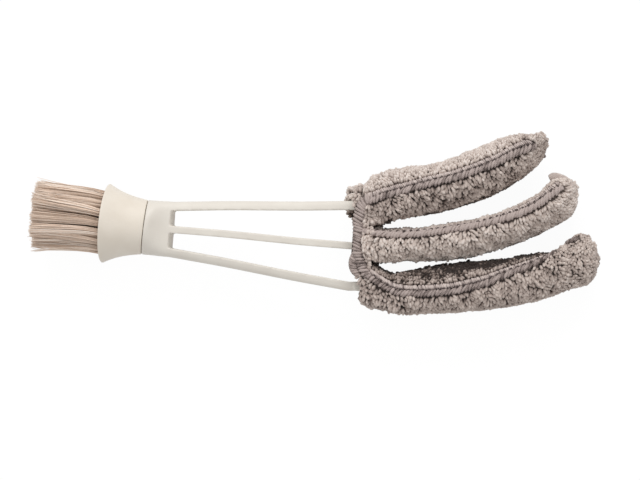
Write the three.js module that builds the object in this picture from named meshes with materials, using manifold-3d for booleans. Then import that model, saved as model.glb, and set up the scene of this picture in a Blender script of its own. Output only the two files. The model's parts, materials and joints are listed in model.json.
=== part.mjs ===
import * as THREE from 'three';
import { mergeGeometries, mergeVertices } from 'three/addons/utils/BufferGeometryUtils.js';
import Module from 'manifold-3d';

// A hand duster for slatted blinds: a round brush on one end of a three-rod handle and three
// plush-covered flexible fingers on the other. Millimetres. X runs from the brush to the
// fingertips, Y is the direction in which the fingers are stacked, Z is up.

const wasm = await Module();
wasm.setup();

// Clearances
const seatGap = 0.3;
const cutOverrun = 2;
const mergeDistance = 0.0001;
const quarterTurn = Math.PI / 2;

// Brush head
const neckRadius = 15.9;
const rimRadius = 23;
const collarLength = 23.4;
const lipThickness = 3;
const lipRounding = 1.1;
const collarFloor = 2.4;
const stemRadius = 7;
const stemReach = 11.4;
const blockRecess = 2.5;
const blockMargin = 0.8;
const blockTaper = 3;
const blockThickness = 6.2;
const seatLedge = 3.4;
const flareStraightShare = 0.45;
const flarePower = 2.6;

// The tuft block fits inside the collar's lip and rests on a ledge round the collar's hollow
const lipInnerRadius = rimRadius - lipThickness;
const blockRadius = lipInnerRadius - seatGap - blockMargin;
const blockBackRadius = blockRadius - blockTaper;
const collarHollowRadius = blockBackRadius - seatLedge;

// Bristles
const bristleLength = 42.4;
const bristleVariation = 0.9;
const sliceThickness = 1;
const bristleMargin = 0.75;
const tuftGap = 1.8;
const tuftRings = 3;
const tuftsPerRing = 6;
const strandSides = 3;
const strandsPerTuft = 10;
const strandRadiusShare = 0.27;
const splayShare = 1.085;
const tuftSpreadShare = 1.38;
const unevennessShare = 0.618;

// The tufts stand in rings about one in the middle, and fill the collar's lip
const tuftRingPitch = (lipInnerRadius - bristleMargin) / (tuftRings + 0.5);
const tuftRadius = (tuftRingPitch - tuftGap) / 2;
const strandRadius = strandRadiusShare * tuftRadius;

// Handle frame
const hubLength = 16;
const hubHalfDepth = 8.25;
const rodEndHalfDepth = 3.5;
const outerRodWidth = 5;
const middleRodWidth = 3.8;
const rodRootSpread = 13.5;
const mouthX = 124.5;
const crossbarThickness = 3.8;
const crossbarFillet = 1.2;
const crossbarGap = 0.8;
const cupWidth = 6.4;
const cupSetback = 2.4;
const prongKnuckleRadius = 3.2;

// Plush cover
const sleeveHalfDepth = 16.8;
const tipRounding = 12;
const tipEndDegrees = 81;
const cavityTipMargin = 3;
const rodMouthDepthClearance = 2.5;
const rodMouthClearance = 0.9;
const tapeWidth = 3.6;
const tapeDepth = 3.4;
const tapeRecess = 0.4;
const tapeBacking = 1.4;
const tapeTipMargin = 4;
const tapeRootShare = 0.72;
const cuffOverhang = 10.2;
const cuffHalfDepth = 14.6;
const cuffLength = 10.5;
const cuffRounding = 9;
const cuffWall = 3.6;
const cuffFaceWall = 5.6;
const bandWidth = 5.6;
const bandThickness = 1.5;
const bandEndMargin = 6;
const elasticThickness = 1.2;
const elasticWidth = 3;

// Prongs
const prongRootHalfThickness = 1.6;
const prongTipHalfThickness = 1.1;
const prongHalfDepth = 6.2;
const prongTipGap = 1;

// Half thicknesses of the fingers and of the hollows in them: the outer two are thick, the
// middle one is slim
const outerRootHalf = 12.9;
const outerMiddleHalf = 12.7;
const upperTipHalf = 11.9;
const lowerTipHalf = 11.6;
const slimRootHalf = 9.6;
const slimMiddleHalf = 7.9;
const slimTipHalf = 10;
const outerCavityRootHalf = 6;
const outerCavityMiddleHalf = 5;
const outerCavityTipHalf = 4.6;
const slimCavityRootHalf = 4.6;
const slimCavityHalf = 4.3;

// How far above its pivot each finger's rail starts, and where it ends from there
const upperRootRise = 1.6;
const upperReach = 90.3;
const upperRise = 38.3;
const middleRootRise = 0.3;
const middleReach = 109.6;
const middleRise = 39.3;
const lowerRootRise = 0.5;
const lowerReach = 125.6;
const lowerRise = 27.4;

// The fingers' round roots stand side by side behind the crossbar, and the cover's mouth, its
// hollows and the tapes follow from them
const fingerRootGap = 2.87;
const pivotSpread = outerRootHalf + slimRootHalf + fingerRootGap;
const pivotX = mouthX + crossbarThickness + crossbarGap + outerRootHalf;
const cuffHalfHeight = pivotSpread + cuffOverhang;
const cavityHalfDepth = sleeveHalfDepth - tapeRecess - tapeDepth - tapeBacking;
const rodMouthHalfDepth = rodEndHalfDepth + rodMouthDepthClearance;

// Each triple gives a value at the root, along the middle and near the tip. A finger bends
// upwards (towards +Y) by up to turnUp degrees and downwards by up to turnDown.
const fingers = [
  {
    name: 'upper',
    pivotY: pivotSpread,
    rootRise: upperRootRise,
    reach: upperReach,
    rise: upperRise,
    rootHeading: 22,
    tipHeading: 30,
    halfThickness: [outerRootHalf, outerMiddleHalf, upperTipHalf],
    cavityHalf: [outerCavityRootHalf, outerCavityMiddleHalf, outerCavityTipHalf],
    twist: [0, 14, 22],
    turnUp: 12,
    turnDown: 3,
  },
  {
    name: 'middle',
    pivotY: 0,
    rootRise: middleRootRise,
    reach: middleReach,
    rise: middleRise,
    rootHeading: 3.9,
    tipHeading: 37,
    halfThickness: [slimRootHalf, slimMiddleHalf, slimTipHalf],
    cavityHalf: [slimCavityRootHalf, slimCavityHalf, slimCavityHalf],
    twist: [0, 17, 24],
    turnUp: 3,
    turnDown: 2,
  },
  {
    name: 'lower',
    pivotY: -pivotSpread,
    rootRise: lowerRootRise,
    reach: lowerReach,
    rise: lowerRise,
    rootHeading: 0.9,
    tipHeading: 22,
    halfThickness: [outerRootHalf, outerMiddleHalf, lowerTipHalf],
    cavityHalf: [outerCavityRootHalf, outerCavityMiddleHalf, outerCavityTipHalf],
    twist: [0, 0, 26],
    turnUp: 2,
    turnDown: 12,
  },
];

// Shares along a finger where its middle values start and end
const rootBlendShare = 0.22;
const middleEndShare = 0.6;
const tipBlendShare = 0.9;
const railHandleShare = 0.36;

// Facet counts
const sectionPoints = 18;
const cavityPoints = 12;
const bladePoints = 10;
const bodyStations = 8;
const tipStations = 4;
const turnSegments = 36;
const knuckleSegments = 24;
const hubStations = 8;
const flareStations = 8;
const roundingSteps = 3;
const filletSegments = 4;
const cuffCornerSegments = 6;

// Superellipse exponents: 2 is an ellipse, higher is squarer
const roundPower = 2;
const rootPower = 5;
const plushPower = 2.5;
const bladePower = 4;
const rodPower = 4;

const materials = {
  hubPlastic: new THREE.MeshStandardMaterial({ color: 0xdad4cb, roughness: 0.5, metalness: 0 }),
  collarPlastic: new THREE.MeshStandardMaterial({ color: 0xded5c8, roughness: 0.5, metalness: 0 }),
  prongPlastic: new THREE.MeshStandardMaterial({ color: 0xd8d2c8, roughness: 0.55, metalness: 0 }),
  bristle: new THREE.MeshStandardMaterial({ color: 0xb3a091, roughness: 0.6, metalness: 0 }),
  plush: new THREE.MeshStandardMaterial({ color: 0x988b85, roughness: 0.95, metalness: 0 }),
  tape: new THREE.MeshStandardMaterial({ color: 0x807370, roughness: 0.85, metalness: 0 }),
  elastic: new THREE.MeshStandardMaterial({ color: 0xcfc8c0, roughness: 0.8, metalness: 0 }),
};

// Closed geometry to solid and back
function solidOf(geometry) {
  const bare = geometry.clone();
  bare.deleteAttribute('normal');
  bare.deleteAttribute('uv');
  const merged = mergeVertices(bare, mergeDistance);
  const corners = [];
  for (let i = 0; i < merged.index.count; i += 3) {
    const [a, b, c] = [0, 1, 2].map((k) => merged.index.getX(i + k));
    if (a !== b && b !== c && c !== a) corners.push(a, b, c);
  }
  return new wasm.Manifold(new wasm.Mesh({
    numProp: 3,
    vertProperties: merged.attributes.position.array,
    triVerts: new Uint32Array(corners),
  }));
}

function geometryOf(solid) {
  const mesh = solid.getMesh();
  const geometry = new THREE.BufferGeometry();
  geometry.setAttribute('position', new THREE.BufferAttribute(mesh.vertProperties, mesh.numProp));
  geometry.setIndex(new THREE.BufferAttribute(mesh.triVerts, 1));
  const faceted = geometry.toNonIndexed();
  faceted.computeVertexNormals();
  return faceted;
}

// A skin through rings of equal point counts, closed by a fan at each end. Each ring runs
// anticlockwise as seen looking back along the direction from the first ring to the last.
function loftGeometry(rings) {
  const count = rings[0].length;
  const points = rings.flat();
  const corners = [];
  for (let r = 0; r + 1 < rings.length; r += 1) {
    for (let i = 0; i < count; i += 1) {
      const a = r * count + i;
      const b = r * count + ((i + 1) % count);
      corners.push(a, b, b + count, a, b + count, a + count);
    }
  }
  const ends = [rings[0], rings[rings.length - 1]];
  ends.forEach((ring, end) => {
    const first = end * (rings.length - 1) * count;
    const centre = points.length;
    points.push(ring.reduce((sum, p) => sum.add(p), new THREE.Vector3()).divideScalar(count));
    for (let i = 0; i < count; i += 1) {
      const here = first + i;
      const next = first + ((i + 1) % count);
      corners.push(centre, ...(end ? [here, next] : [next, here]));
    }
  });
  const geometry = new THREE.BufferGeometry().setFromPoints(points);
  geometry.setIndex(corners);
  return geometry;
}

function superellipse(halfWidth, halfHeight, power, count = sectionPoints) {
  return Array.from({ length: count }, (_, i) => {
    const angle = (i / count) * 2 * Math.PI;
    const bend = (v) => Math.sign(v) * Math.abs(v) ** (2 / power);
    const x = halfWidth * bend(Math.cos(angle));
    const y = halfHeight * bend(Math.sin(angle));
    return new THREE.Vector2(x, y);
  });
}

function rectangle(lowX, highX, lowY, highY) {
  return [
    new THREE.Vector2(highX, lowY),
    new THREE.Vector2(highX, highY),
    new THREE.Vector2(lowX, highY),
    new THREE.Vector2(lowX, lowY),
  ];
}

// A profile of [radius, height] pairs turned about a Z axis through the given point
function turnedZ(profile, x, y) {
  const outline = profile.map(([radius, height]) => new THREE.Vector2(radius, height));
  const geometry = new THREE.LatheGeometry(outline, knuckleSegments);
  return solidOf(geometry.rotateX(quarterTurn).translate(x, y, 0));
}

// A profile of [radius, x] pairs turned about the X axis
function turnedX(profile) {
  const outline = profile.map(([radius, x]) => new THREE.Vector2(radius, x));
  return solidOf(new THREE.LatheGeometry(outline, turnSegments).rotateZ(-quarterTurn));
}

function cylinderZ(radius, halfHeight, x, y) {
  const side = [[radius, -halfHeight], [radius, halfHeight]];
  return turnedZ([[0, -halfHeight], ...side, [0, halfHeight]], x, y);
}

function block(lowX, highX, lowY, highY, lowZ, highZ) {
  const size = new THREE.BoxGeometry(highX - lowX, highY - lowY, highZ - lowZ);
  const centre = [lowX + highX, lowY + highY, lowZ + highZ].map((v) => v / 2);
  return solidOf(size.translate(...centre));
}

function prismGeometry(shape, halfHeight) {
  const geometry = new THREE.ExtrudeGeometry(shape, {
    depth: 2 * halfHeight,
    bevelEnabled: false,
    curveSegments: filletSegments,
  });
  return geometry.translate(0, 0, -halfHeight);
}

// Handle frame: hub, three rods, crossbar and the cups that hold the prongs' knuckles
const crossbarEnd = mouthX + crossbarThickness;
const rodSlope = Math.atan((pivotSpread - rodRootSpread) / (pivotX - hubLength));

function rodCentre(x) {
  const share = (x - hubLength) / (pivotX - hubLength);
  return THREE.MathUtils.lerp(rodRootSpread, pivotSpread, share);
}

function hubShare(x) {
  return THREE.MathUtils.smoothstep(x, 0, hubLength);
}

function frameHalfWidth(x) {
  const outer = rodCentre(Math.max(x, hubLength)) + outerRodWidth / 2;
  return THREE.MathUtils.lerp(neckRadius, outer, hubShare(x));
}

function frameHalfDepth(x) {
  if (x < hubLength) return THREE.MathUtils.lerp(neckRadius, hubHalfDepth, hubShare(x));
  const share = (x - hubLength) / (crossbarEnd - hubLength);
  return THREE.MathUtils.lerp(hubHalfDepth, rodEndHalfDepth, Math.min(share, 1));
}

function frameRing(x) {
  const power = THREE.MathUtils.lerp(roundPower, rodPower, hubShare(x));
  const points = superellipse(frameHalfWidth(x), frameHalfDepth(x), power, turnSegments);
  return points.map((p) => new THREE.Vector3(x, p.x, p.y));
}

function rodOpening(side) {
  const innerY = middleRodWidth / 2;
  const outerY = (x) => rodCentre(x) - outerRodWidth / 2;
  const corners = [
    [hubLength, innerY],
    [mouthX, innerY],
    [mouthX, outerY(mouthX)],
    [hubLength, outerY(hubLength)],
  ].map(([x, y]) => new THREE.Vector2(x, y * side));
  const outline = side > 0 ? corners : corners.reverse();
  const shape = new THREE.Shape();
  outline.forEach((corner, i) => {
    const before = outline[(i + outline.length - 1) % outline.length];
    const after = outline[(i + 1) % outline.length];
    const start = corner.clone().add(before.clone().sub(corner).setLength(crossbarFillet));
    const end = corner.clone().add(after.clone().sub(corner).setLength(crossbarFillet));
    if (i === 0) {
      shape.moveTo(start.x, start.y);
    } else {
      shape.lineTo(start.x, start.y);
    }
    shape.quadraticCurveTo(corner.x, corner.y, end.x, end.y);
  });
  shape.closePath();
  return solidOf(prismGeometry(shape, neckRadius));
}

function rodStub(pivotY) {
  const stop = pivotX - cupSetback;
  const centreAt = (x) => Math.sign(pivotY) * rodCentre(x);
  const start = crossbarEnd - crossbarThickness / 2;
  const startWidth = pivotY ? outerRodWidth : middleRodWidth;
  const rings = [[start, startWidth], [stop - cupWidth / 2, startWidth], [stop, cupWidth]];
  const skin = rings.map(([x, width]) => superellipse(width / 2, rodEndHalfDepth, bladePower)
    .map((p) => new THREE.Vector3(x, centreAt(x) + p.x, p.y)));
  const cup = cylinderZ(prongKnuckleRadius + seatGap, neckRadius, pivotX, pivotY);
  return solidOf(loftGeometry(skin)).subtract(cup);
}

function elasticInnerHalfHeight() {
  return cuffHalfHeight - cuffWall - seatGap - elasticThickness;
}

function handleFrame() {
  const hubPlaces = Array.from({ length: hubStations }, (_, i) => hubLength * (i / hubStations));
  const hubRings = hubPlaces.map(frameRing);
  const rodRings = [frameRing(hubLength), frameRing(crossbarEnd)];
  let frame = solidOf(loftGeometry([...hubRings, ...rodRings]));
  frame = frame.subtract(rodOpening(1)).subtract(rodOpening(-1));
  const barHalf = elasticInnerHalfHeight() - seatGap;
  frame = frame.add(block(mouthX, crossbarEnd, -barHalf, barHalf, -rodEndHalfDepth, rodEndHalfDepth));
  for (const finger of fingers) frame = frame.add(rodStub(finger.pivotY));
  const socketRadius = stemRadius + seatGap;
  const socketEnd = stemReach + seatGap;
  const socketWall = [[socketRadius, -cutOverrun], [socketRadius, socketEnd]];
  const socket = turnedX([[0, -cutOverrun], ...socketWall, [0, socketEnd]]);
  const seam = block(-cutOverrun, seatGap / 2, -rimRadius, rimRadius, -rimRadius, rimRadius);
  return frame.subtract(socket).subtract(seam);
}

// Brush head
const blockFaceX = -(collarLength - blockRecess);
const sliceFaceX = blockFaceX - seatGap - sliceThickness;
const bristleTipX = -(collarLength + bristleLength);

function flareRadius(x) {
  const share = Math.min(1, -x / (collarLength - lipRounding));
  const rise = flareStraightShare * share + (1 - flareStraightShare) * share ** flarePower;
  return THREE.MathUtils.lerp(neckRadius, rimRadius, rise);
}

// A quarter of the lip's rounding about a [radius, x] centre, a number of quarter turns on
function lipQuarter(centreRadius, quartersOn) {
  const centreX = -(collarLength - lipRounding);
  return Array.from({ length: roundingSteps + 1 }, (_, i) => {
    const turn = (quartersOn + i / roundingSteps) * quarterTurn;
    return [centreRadius + lipRounding * Math.cos(turn), centreX - lipRounding * Math.sin(turn)];
  });
}

function brushCollar() {
  const neckX = -seatGap / 2;
  const lipX = -(collarLength - lipRounding);
  const outer = Array.from({ length: flareStations + 1 }, (_, i) => {
    const x = THREE.MathUtils.lerp(neckX, lipX, i / flareStations);
    return [flareRadius(x), x];
  });
  const seatBackX = blockFaceX + blockThickness + seatGap;
  const inner = [
    ...lipQuarter(rimRadius - lipRounding, 0).slice(1),
    ...lipQuarter(lipInnerRadius + lipRounding, 1),
    [blockRadius + seatGap, blockFaceX],
    [blockBackRadius + seatGap, seatBackX],
    [collarHollowRadius, seatBackX],
    [collarHollowRadius, -collarFloor],
    [stemRadius + seatGap, -collarFloor],
    [stemRadius + seatGap, neckX],
  ];
  const profile = [...outer, ...inner, outer[0]].reverse();
  return turnedX(profile);
}

function tuftBlock() {
  const backX = blockFaceX + blockThickness;
  return turnedX([
    [0, blockFaceX],
    [blockRadius, blockFaceX],
    [blockBackRadius, backX],
    [stemRadius, backX],
    [stemRadius, stemReach],
    [0, stemReach],
  ]);
}

// A strand widens its distance from the brush axis and from its tuft's centre as it runs out,
// so that no two strands meet.
function strand(tuft, index, order) {
  const goldenAngle = Math.PI * (3 - Math.sqrt(5));
  const angle = order + index * goldenAngle;
  const distance = tuftRadius * Math.sqrt((index + 0.5) / strandsPerTuft);
  const local = new THREE.Vector2(Math.cos(angle), Math.sin(angle)).multiplyScalar(distance);
  const startX = sliceFaceX + sliceThickness / 2;
  const shortfall = bristleVariation * (((order * strandsPerTuft + index) * unevennessShare) % 1);
  const places = [
    [startX, tuft.clone().add(local)],
    [
      bristleTipX + shortfall,
      tuft.clone().multiplyScalar(splayShare).addScaledVector(local, tuftSpreadShare),
    ],
  ];
  const rings = places.map(([x, centre]) => Array.from({ length: strandSides }, (_, k) => {
    const turn = angle - (k / strandSides) * 2 * Math.PI;
    return new THREE.Vector3(
      x,
      centre.x + strandRadius * Math.cos(turn),
      centre.y + strandRadius * Math.sin(turn),
    );
  }));
  return loftGeometry(rings);
}

function bristleRing(firstRing, lastRing) {
  const strands = [];
  for (let ring = firstRing; ring <= lastRing; ring += 1) {
    const count = Math.max(1, tuftsPerRing * ring);
    for (let t = 0; t < count; t += 1) {
      const turn = ((t + ring / 2) / count) * 2 * Math.PI;
      const tuft = new THREE.Vector2(Math.cos(turn), Math.sin(turn)).multiplyScalar(ring * tuftRingPitch);
      for (let i = 0; i < strandsPerTuft; i += 1) strands.push(strand(tuft, i, t));
    }
  }
  const inner = firstRing ? (firstRing - 0.5) * tuftRingPitch + seatGap / 2 : 0;
  const outer = (lastRing + 0.5) * tuftRingPitch - seatGap / 2;
  const backX = sliceFaceX + sliceThickness;
  const rim = [[inner, sliceFaceX], [outer, sliceFaceX], [outer, backX], [inner, backX]];
  const slice = turnedX(inner ? [...rim, rim[0]] : rim);
  return slice.add(solidOf(mergeGeometries(strands)));
}

// A finger's rail, its stations and what its sections measure there
function heading(degrees) {
  const angle = THREE.MathUtils.degToRad(degrees);
  return new THREE.Vector3(Math.cos(angle), Math.sin(angle), 0);
}

function railOf(finger) {
  const root = new THREE.Vector3(pivotX, finger.pivotY + finger.rootRise, 0);
  const tip = root.clone().add(new THREE.Vector3(finger.reach, finger.rise, 0));
  const handle = railHandleShare * root.distanceTo(tip);
  return new THREE.CubicBezierCurve3(
    root,
    root.clone().addScaledVector(heading(finger.rootHeading), handle),
    tip.clone().addScaledVector(heading(finger.tipHeading), -handle),
    tip,
  );
}

for (const finger of fingers) {
  finger.rail = railOf(finger);
  finger.length = finger.rail.getLength();
}

function alongFinger([root, middle, tip], share) {
  const toMiddle = THREE.MathUtils.smoothstep(share, 0, rootBlendShare);
  const toTip = THREE.MathUtils.smoothstep(share, middleEndShare, tipBlendShare);
  return THREE.MathUtils.lerp(THREE.MathUtils.lerp(root, middle, toMiddle), tip, toTip);
}

// How far the skin draws in at the rounded tip, and over the round root behind the pivot
function tipScale(finger, distance) {
  const into = Math.max(0, distance - (finger.length - tipRounding)) / tipRounding;
  return Math.sqrt(Math.max(0, 1 - into ** 2));
}

function skinHalfDepth(finger, distance) {
  if (distance >= 0) return sleeveHalfDepth * tipScale(finger, distance);
  const out = Math.min(1, -distance / finger.halfThickness[0]);
  return sleeveHalfDepth * (1 - out ** rootPower) ** (1 / rootPower);
}

function stationFrame(finger, distance) {
  const share = THREE.MathUtils.clamp(distance / finger.length, 0, 1);
  const tangent = finger.rail.getTangentAt(share);
  const spare = distance - share * finger.length;
  const origin = finger.rail.getPointAt(share).addScaledVector(tangent, spare);
  const across = new THREE.Vector3(-tangent.y, tangent.x, 0);
  return { share, origin, across };
}

// Turns a section's (thickness, depth) points about the rail and puts them at their station
function placeSection(finger, distance, section, twisted = true) {
  const { share, origin, across } = stationFrame(finger, distance);
  const twist = twisted ? THREE.MathUtils.degToRad(alongFinger(finger.twist, share)) : 0;
  const up = new THREE.Vector3(0, 0, 1);
  return section.map((p) => {
    const thick = p.x * Math.cos(twist) + p.y * Math.sin(twist);
    const deep = p.y * Math.cos(twist) - p.x * Math.sin(twist);
    return origin.clone().addScaledVector(across, thick).addScaledVector(up, deep);
  });
}

function bodyDistances(from, to) {
  return Array.from({ length: bodyStations + 1 }, (_, i) => (
    THREE.MathUtils.lerp(from, to, i / bodyStations)
  ));
}

function sweep(finger, distances, sectionAt, twisted = true) {
  const rings = distances.map((d) => placeSection(finger, d, sectionAt(d, d / finger.length), twisted));
  return solidOf(loftGeometry(rings));
}

function sleeveSolid(finger) {
  const bodyEnd = finger.length - tipRounding;
  const lastTurn = THREE.MathUtils.degToRad(tipEndDegrees);
  const tipDistances = Array.from({ length: tipStations }, (_, i) => (
    bodyEnd + tipRounding * Math.sin(lastTurn * ((i + 1) / tipStations))
  ));
  const distances = [...bodyDistances(0, bodyEnd), ...tipDistances];
  const skin = sweep(finger, distances, (distance, share) => {
    const scale = tipScale(finger, distance);
    const power = alongFinger([rootPower, plushPower, plushPower], share);
    const halfThickness = alongFinger(finger.halfThickness, share);
    return superellipse(halfThickness * scale, sleeveHalfDepth * scale, power);
  });
  const rootOutline = superellipse(finger.halfThickness[0], sleeveHalfDepth, rootPower)
    .filter((p) => p.x > mergeDistance)
    .sort((a, b) => a.y - b.y)
    .map((p) => [p.x, p.y]);
  const knuckle = turnedZ(
    [[0, -sleeveHalfDepth], ...rootOutline, [0, sleeveHalfDepth]],
    pivotX,
    finger.pivotY,
  );
  return skin.add(knuckle);
}

// The sleeve's root opens around the rod, which turns in it as the finger bends
function rodMouth(finger) {
  const reach = finger.halfThickness[0] + cutOverrun;
  const half = cupWidth / 2 + rodMouthClearance;
  const rise = (degrees) => reach * Math.tan(THREE.MathUtils.degToRad(degrees));
  const corners = [
    [0, half],
    [-reach, half + rise(finger.turnUp)],
    [-reach, -half - rise(finger.turnDown)],
    [0, -half],
  ];
  const shape = new THREE.Shape(corners.map(([x, y]) => new THREE.Vector2(x, y)));
  const slope = Math.sign(finger.pivotY) * rodSlope;
  const geometry = prismGeometry(shape, rodMouthHalfDepth).rotateZ(slope);
  return solidOf(geometry.translate(pivotX, finger.pivotY, 0));
}

function cavityEnd(finger) {
  return finger.length - tipRounding - cavityTipMargin;
}

function cavitySolid(finger) {
  const tunnel = sweep(finger, bodyDistances(0, cavityEnd(finger)), (_, share) => (
    superellipse(alongFinger(finger.cavityHalf, share), cavityHalfDepth, roundPower, cavityPoints)
  ));
  const heart = cylinderZ(finger.cavityHalf[0], rodMouthHalfDepth, pivotX, finger.pivotY);
  return tunnel.add(heart).add(rodMouth(finger));
}

function tapeEnds(finger) {
  return [-tapeRootShare * finger.halfThickness[0], finger.length - tipRounding + tapeTipMargin];
}

function tapeDistances(finger, extra) {
  const [start, end] = tapeEnds(finger);
  return [start - extra, ...bodyDistances(0, finger.length - tipRounding), end + extra];
}

function seamTape(finger, face) {
  return sweep(finger, tapeDistances(finger, 0), (distance) => {
    const top = skinHalfDepth(finger, distance) - tapeRecess;
    const depths = [top - tapeDepth, top].map((v) => v * face).sort((a, b) => a - b);
    return rectangle(-tapeWidth / 2, tapeWidth / 2, ...depths);
  });
}

function seamSlot(finger, face) {
  const half = tapeWidth / 2 + seatGap;
  return sweep(finger, tapeDistances(finger, seatGap), (distance) => {
    const low = skinHalfDepth(finger, distance) - tapeRecess - tapeDepth - seatGap;
    const depths = [low, sleeveHalfDepth + cutOverrun].map((v) => v * face).sort((a, b) => a - b);
    return rectangle(-half, half, ...depths);
  });
}

// Everything on the lower side of the finger's seam, up to the given height above the seam
function lowerSide(finger, height) {
  const margin = finger.halfThickness[0] + cutOverrun;
  const along = bodyDistances(0, finger.length - tipRounding);
  const distances = [-margin, ...along, finger.length + cutOverrun];
  const reach = sleeveHalfDepth + cutOverrun;
  return sweep(finger, distances, () => rectangle(-reach, height, -reach, reach));
}

function prong(finger) {
  const distances = bodyDistances(0, cavityEnd(finger) - prongTipGap);
  const blade = sweep(finger, distances, (_, share) => {
    const half = THREE.MathUtils.lerp(prongRootHalfThickness, prongTipHalfThickness, share);
    const widening = THREE.MathUtils.smoothstep(share, 0, rootBlendShare);
    const deep = THREE.MathUtils.lerp(rodEndHalfDepth, prongHalfDepth, widening);
    return superellipse(half, deep, bladePower, bladePoints);
  }, false);
  return blade.add(cylinderZ(prongKnuckleRadius, rodEndHalfDepth, pivotX, finger.pivotY));
}

// Cover's mouth
function knuckleClearances() {
  return fingers.map((finger) => cylinderZ(
    finger.halfThickness[0] + seatGap,
    sleeveHalfDepth + cutOverrun,
    pivotX,
    finger.pivotY,
  ));
}

function ovalTube(lowX, highX, halfY, halfZ, radius) {
  const shape = new THREE.Shape();
  const [y, z] = [halfY - radius, halfZ - radius];
  const centres = [[y, z], [-y, z], [-y, -z], [y, -z]];
  centres.forEach(([centreY, centreZ], quarter) => {
    const start = quarter * quarterTurn;
    shape.absarc(centreY, centreZ, radius, start, start + quarterTurn);
  });
  const geometry = new THREE.ExtrudeGeometry(shape, {
    depth: highX - lowX,
    bevelEnabled: false,
    curveSegments: cuffCornerSegments,
  });
  return solidOf(geometry.rotateX(quarterTurn).rotateZ(quarterTurn).translate(lowX, 0, 0));
}

function mouthCuff() {
  const innerY = cuffHalfHeight - cuffWall;
  const innerZ = cuffHalfDepth - cuffFaceWall;
  const endX = mouthX + cuffLength;
  let cuff = ovalTube(mouthX, endX, cuffHalfHeight, cuffHalfDepth, cuffRounding);
  cuff = cuff.subtract(block(mouthX - cutOverrun, endX + cutOverrun, -innerY, innerY, -innerZ, innerZ));
  for (const clearance of knuckleClearances()) cuff = cuff.subtract(clearance);
  return cuff;
}

function mouthBand(face) {
  const startX = mouthX + seatGap;
  const halfY = cuffHalfHeight - bandEndMargin;
  const depths = [cuffHalfDepth + seatGap, cuffHalfDepth + seatGap + bandThickness]
    .map((v) => v * face)
    .sort((a, b) => a - b);
  let band = block(startX, startX + bandWidth, -halfY, halfY, ...depths);
  for (const clearance of knuckleClearances()) band = band.subtract(clearance);
  return band;
}

function mouthElastic() {
  const outerY = elasticInnerHalfHeight() + elasticThickness;
  const outerZ = cuffHalfDepth - cuffFaceWall - seatGap;
  const innerY = outerY - elasticThickness;
  const innerZ = outerZ - elasticThickness;
  const startX = mouthX + seatGap;
  const endX = startX + elasticWidth;
  const loop = block(startX, endX, -outerY, outerY, -outerZ, outerZ);
  const [lowX, highX] = [startX - cutOverrun, endX + cutOverrun];
  return loop.subtract(block(lowX, highX, -innerY, innerY, -innerZ, innerZ));
}

// Assembly
const duster = new THREE.Group();

function addPiece(name, solid, material) {
  const mesh = new THREE.Mesh(geometryOf(solid), material);
  mesh.name = name;
  duster.add(mesh);
}

addPiece('handle_frame', handleFrame(), materials.hubPlastic);
addPiece('brush_collar', brushCollar(), materials.collarPlastic);
addPiece('tuft_block', tuftBlock(), materials.collarPlastic);
addPiece('bristles_centre', bristleRing(0, 1), materials.bristle);
addPiece('bristles_middle', bristleRing(2, 2), materials.bristle);
addPiece('bristles_outer', bristleRing(3, 3), materials.bristle);
addPiece('mouth_cuff', mouthCuff(), materials.plush);
addPiece('mouth_band_front', mouthBand(1), materials.tape);
addPiece('mouth_band_back', mouthBand(-1), materials.tape);
addPiece('mouth_elastic', mouthElastic(), materials.elastic);

for (const finger of fingers) {
  const hollow = [cavitySolid(finger), seamSlot(finger, 1), seamSlot(finger, -1)];
  const sleeve = hollow.reduce((solid, cut) => solid.subtract(cut), sleeveSolid(finger));
  addPiece(`${finger.name}_prong`, prong(finger), materials.prongPlastic);
  const topPanel = sleeve.subtract(lowerSide(finger, seatGap / 2));
  const bottomPanel = sleeve.intersect(lowerSide(finger, -seatGap / 2));
  addPiece(`${finger.name}_top_panel`, topPanel, materials.plush);
  addPiece(`${finger.name}_bottom_panel`, bottomPanel, materials.plush);
  addPiece(`${finger.name}_tape_front`, seamTape(finger, 1), materials.tape);
  addPiece(`${finger.name}_tape_back`, seamTape(finger, -1), materials.tape);
}

// The origin is the middle of the part's underside
const extent = new THREE.Box3().setFromObject(duster);
const middle = extent.getCenter(new THREE.Vector3());
duster.position.set(-middle.x, -middle.y, -extent.min.z);

export default duster;
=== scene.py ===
import json
import math

import bpy
import numpy as np
from mathutils import Matrix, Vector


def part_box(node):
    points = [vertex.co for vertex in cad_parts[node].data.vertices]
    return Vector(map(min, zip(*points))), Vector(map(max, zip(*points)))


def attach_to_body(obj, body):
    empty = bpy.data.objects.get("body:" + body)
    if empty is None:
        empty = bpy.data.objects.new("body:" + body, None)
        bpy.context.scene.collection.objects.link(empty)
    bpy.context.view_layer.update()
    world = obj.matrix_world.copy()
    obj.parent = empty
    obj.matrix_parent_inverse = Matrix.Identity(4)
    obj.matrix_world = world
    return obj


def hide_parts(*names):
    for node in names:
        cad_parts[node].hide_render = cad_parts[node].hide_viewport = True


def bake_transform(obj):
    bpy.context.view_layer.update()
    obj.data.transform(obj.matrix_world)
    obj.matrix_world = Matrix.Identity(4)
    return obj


# A hand duster for slatted blinds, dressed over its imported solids. Lengths are millimetres in the
# tool's own frame: x from the seam between collar and hub to the fingertips, y across the fingers,
# z up. They become metres in the frame's place when a mesh is made.

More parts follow.
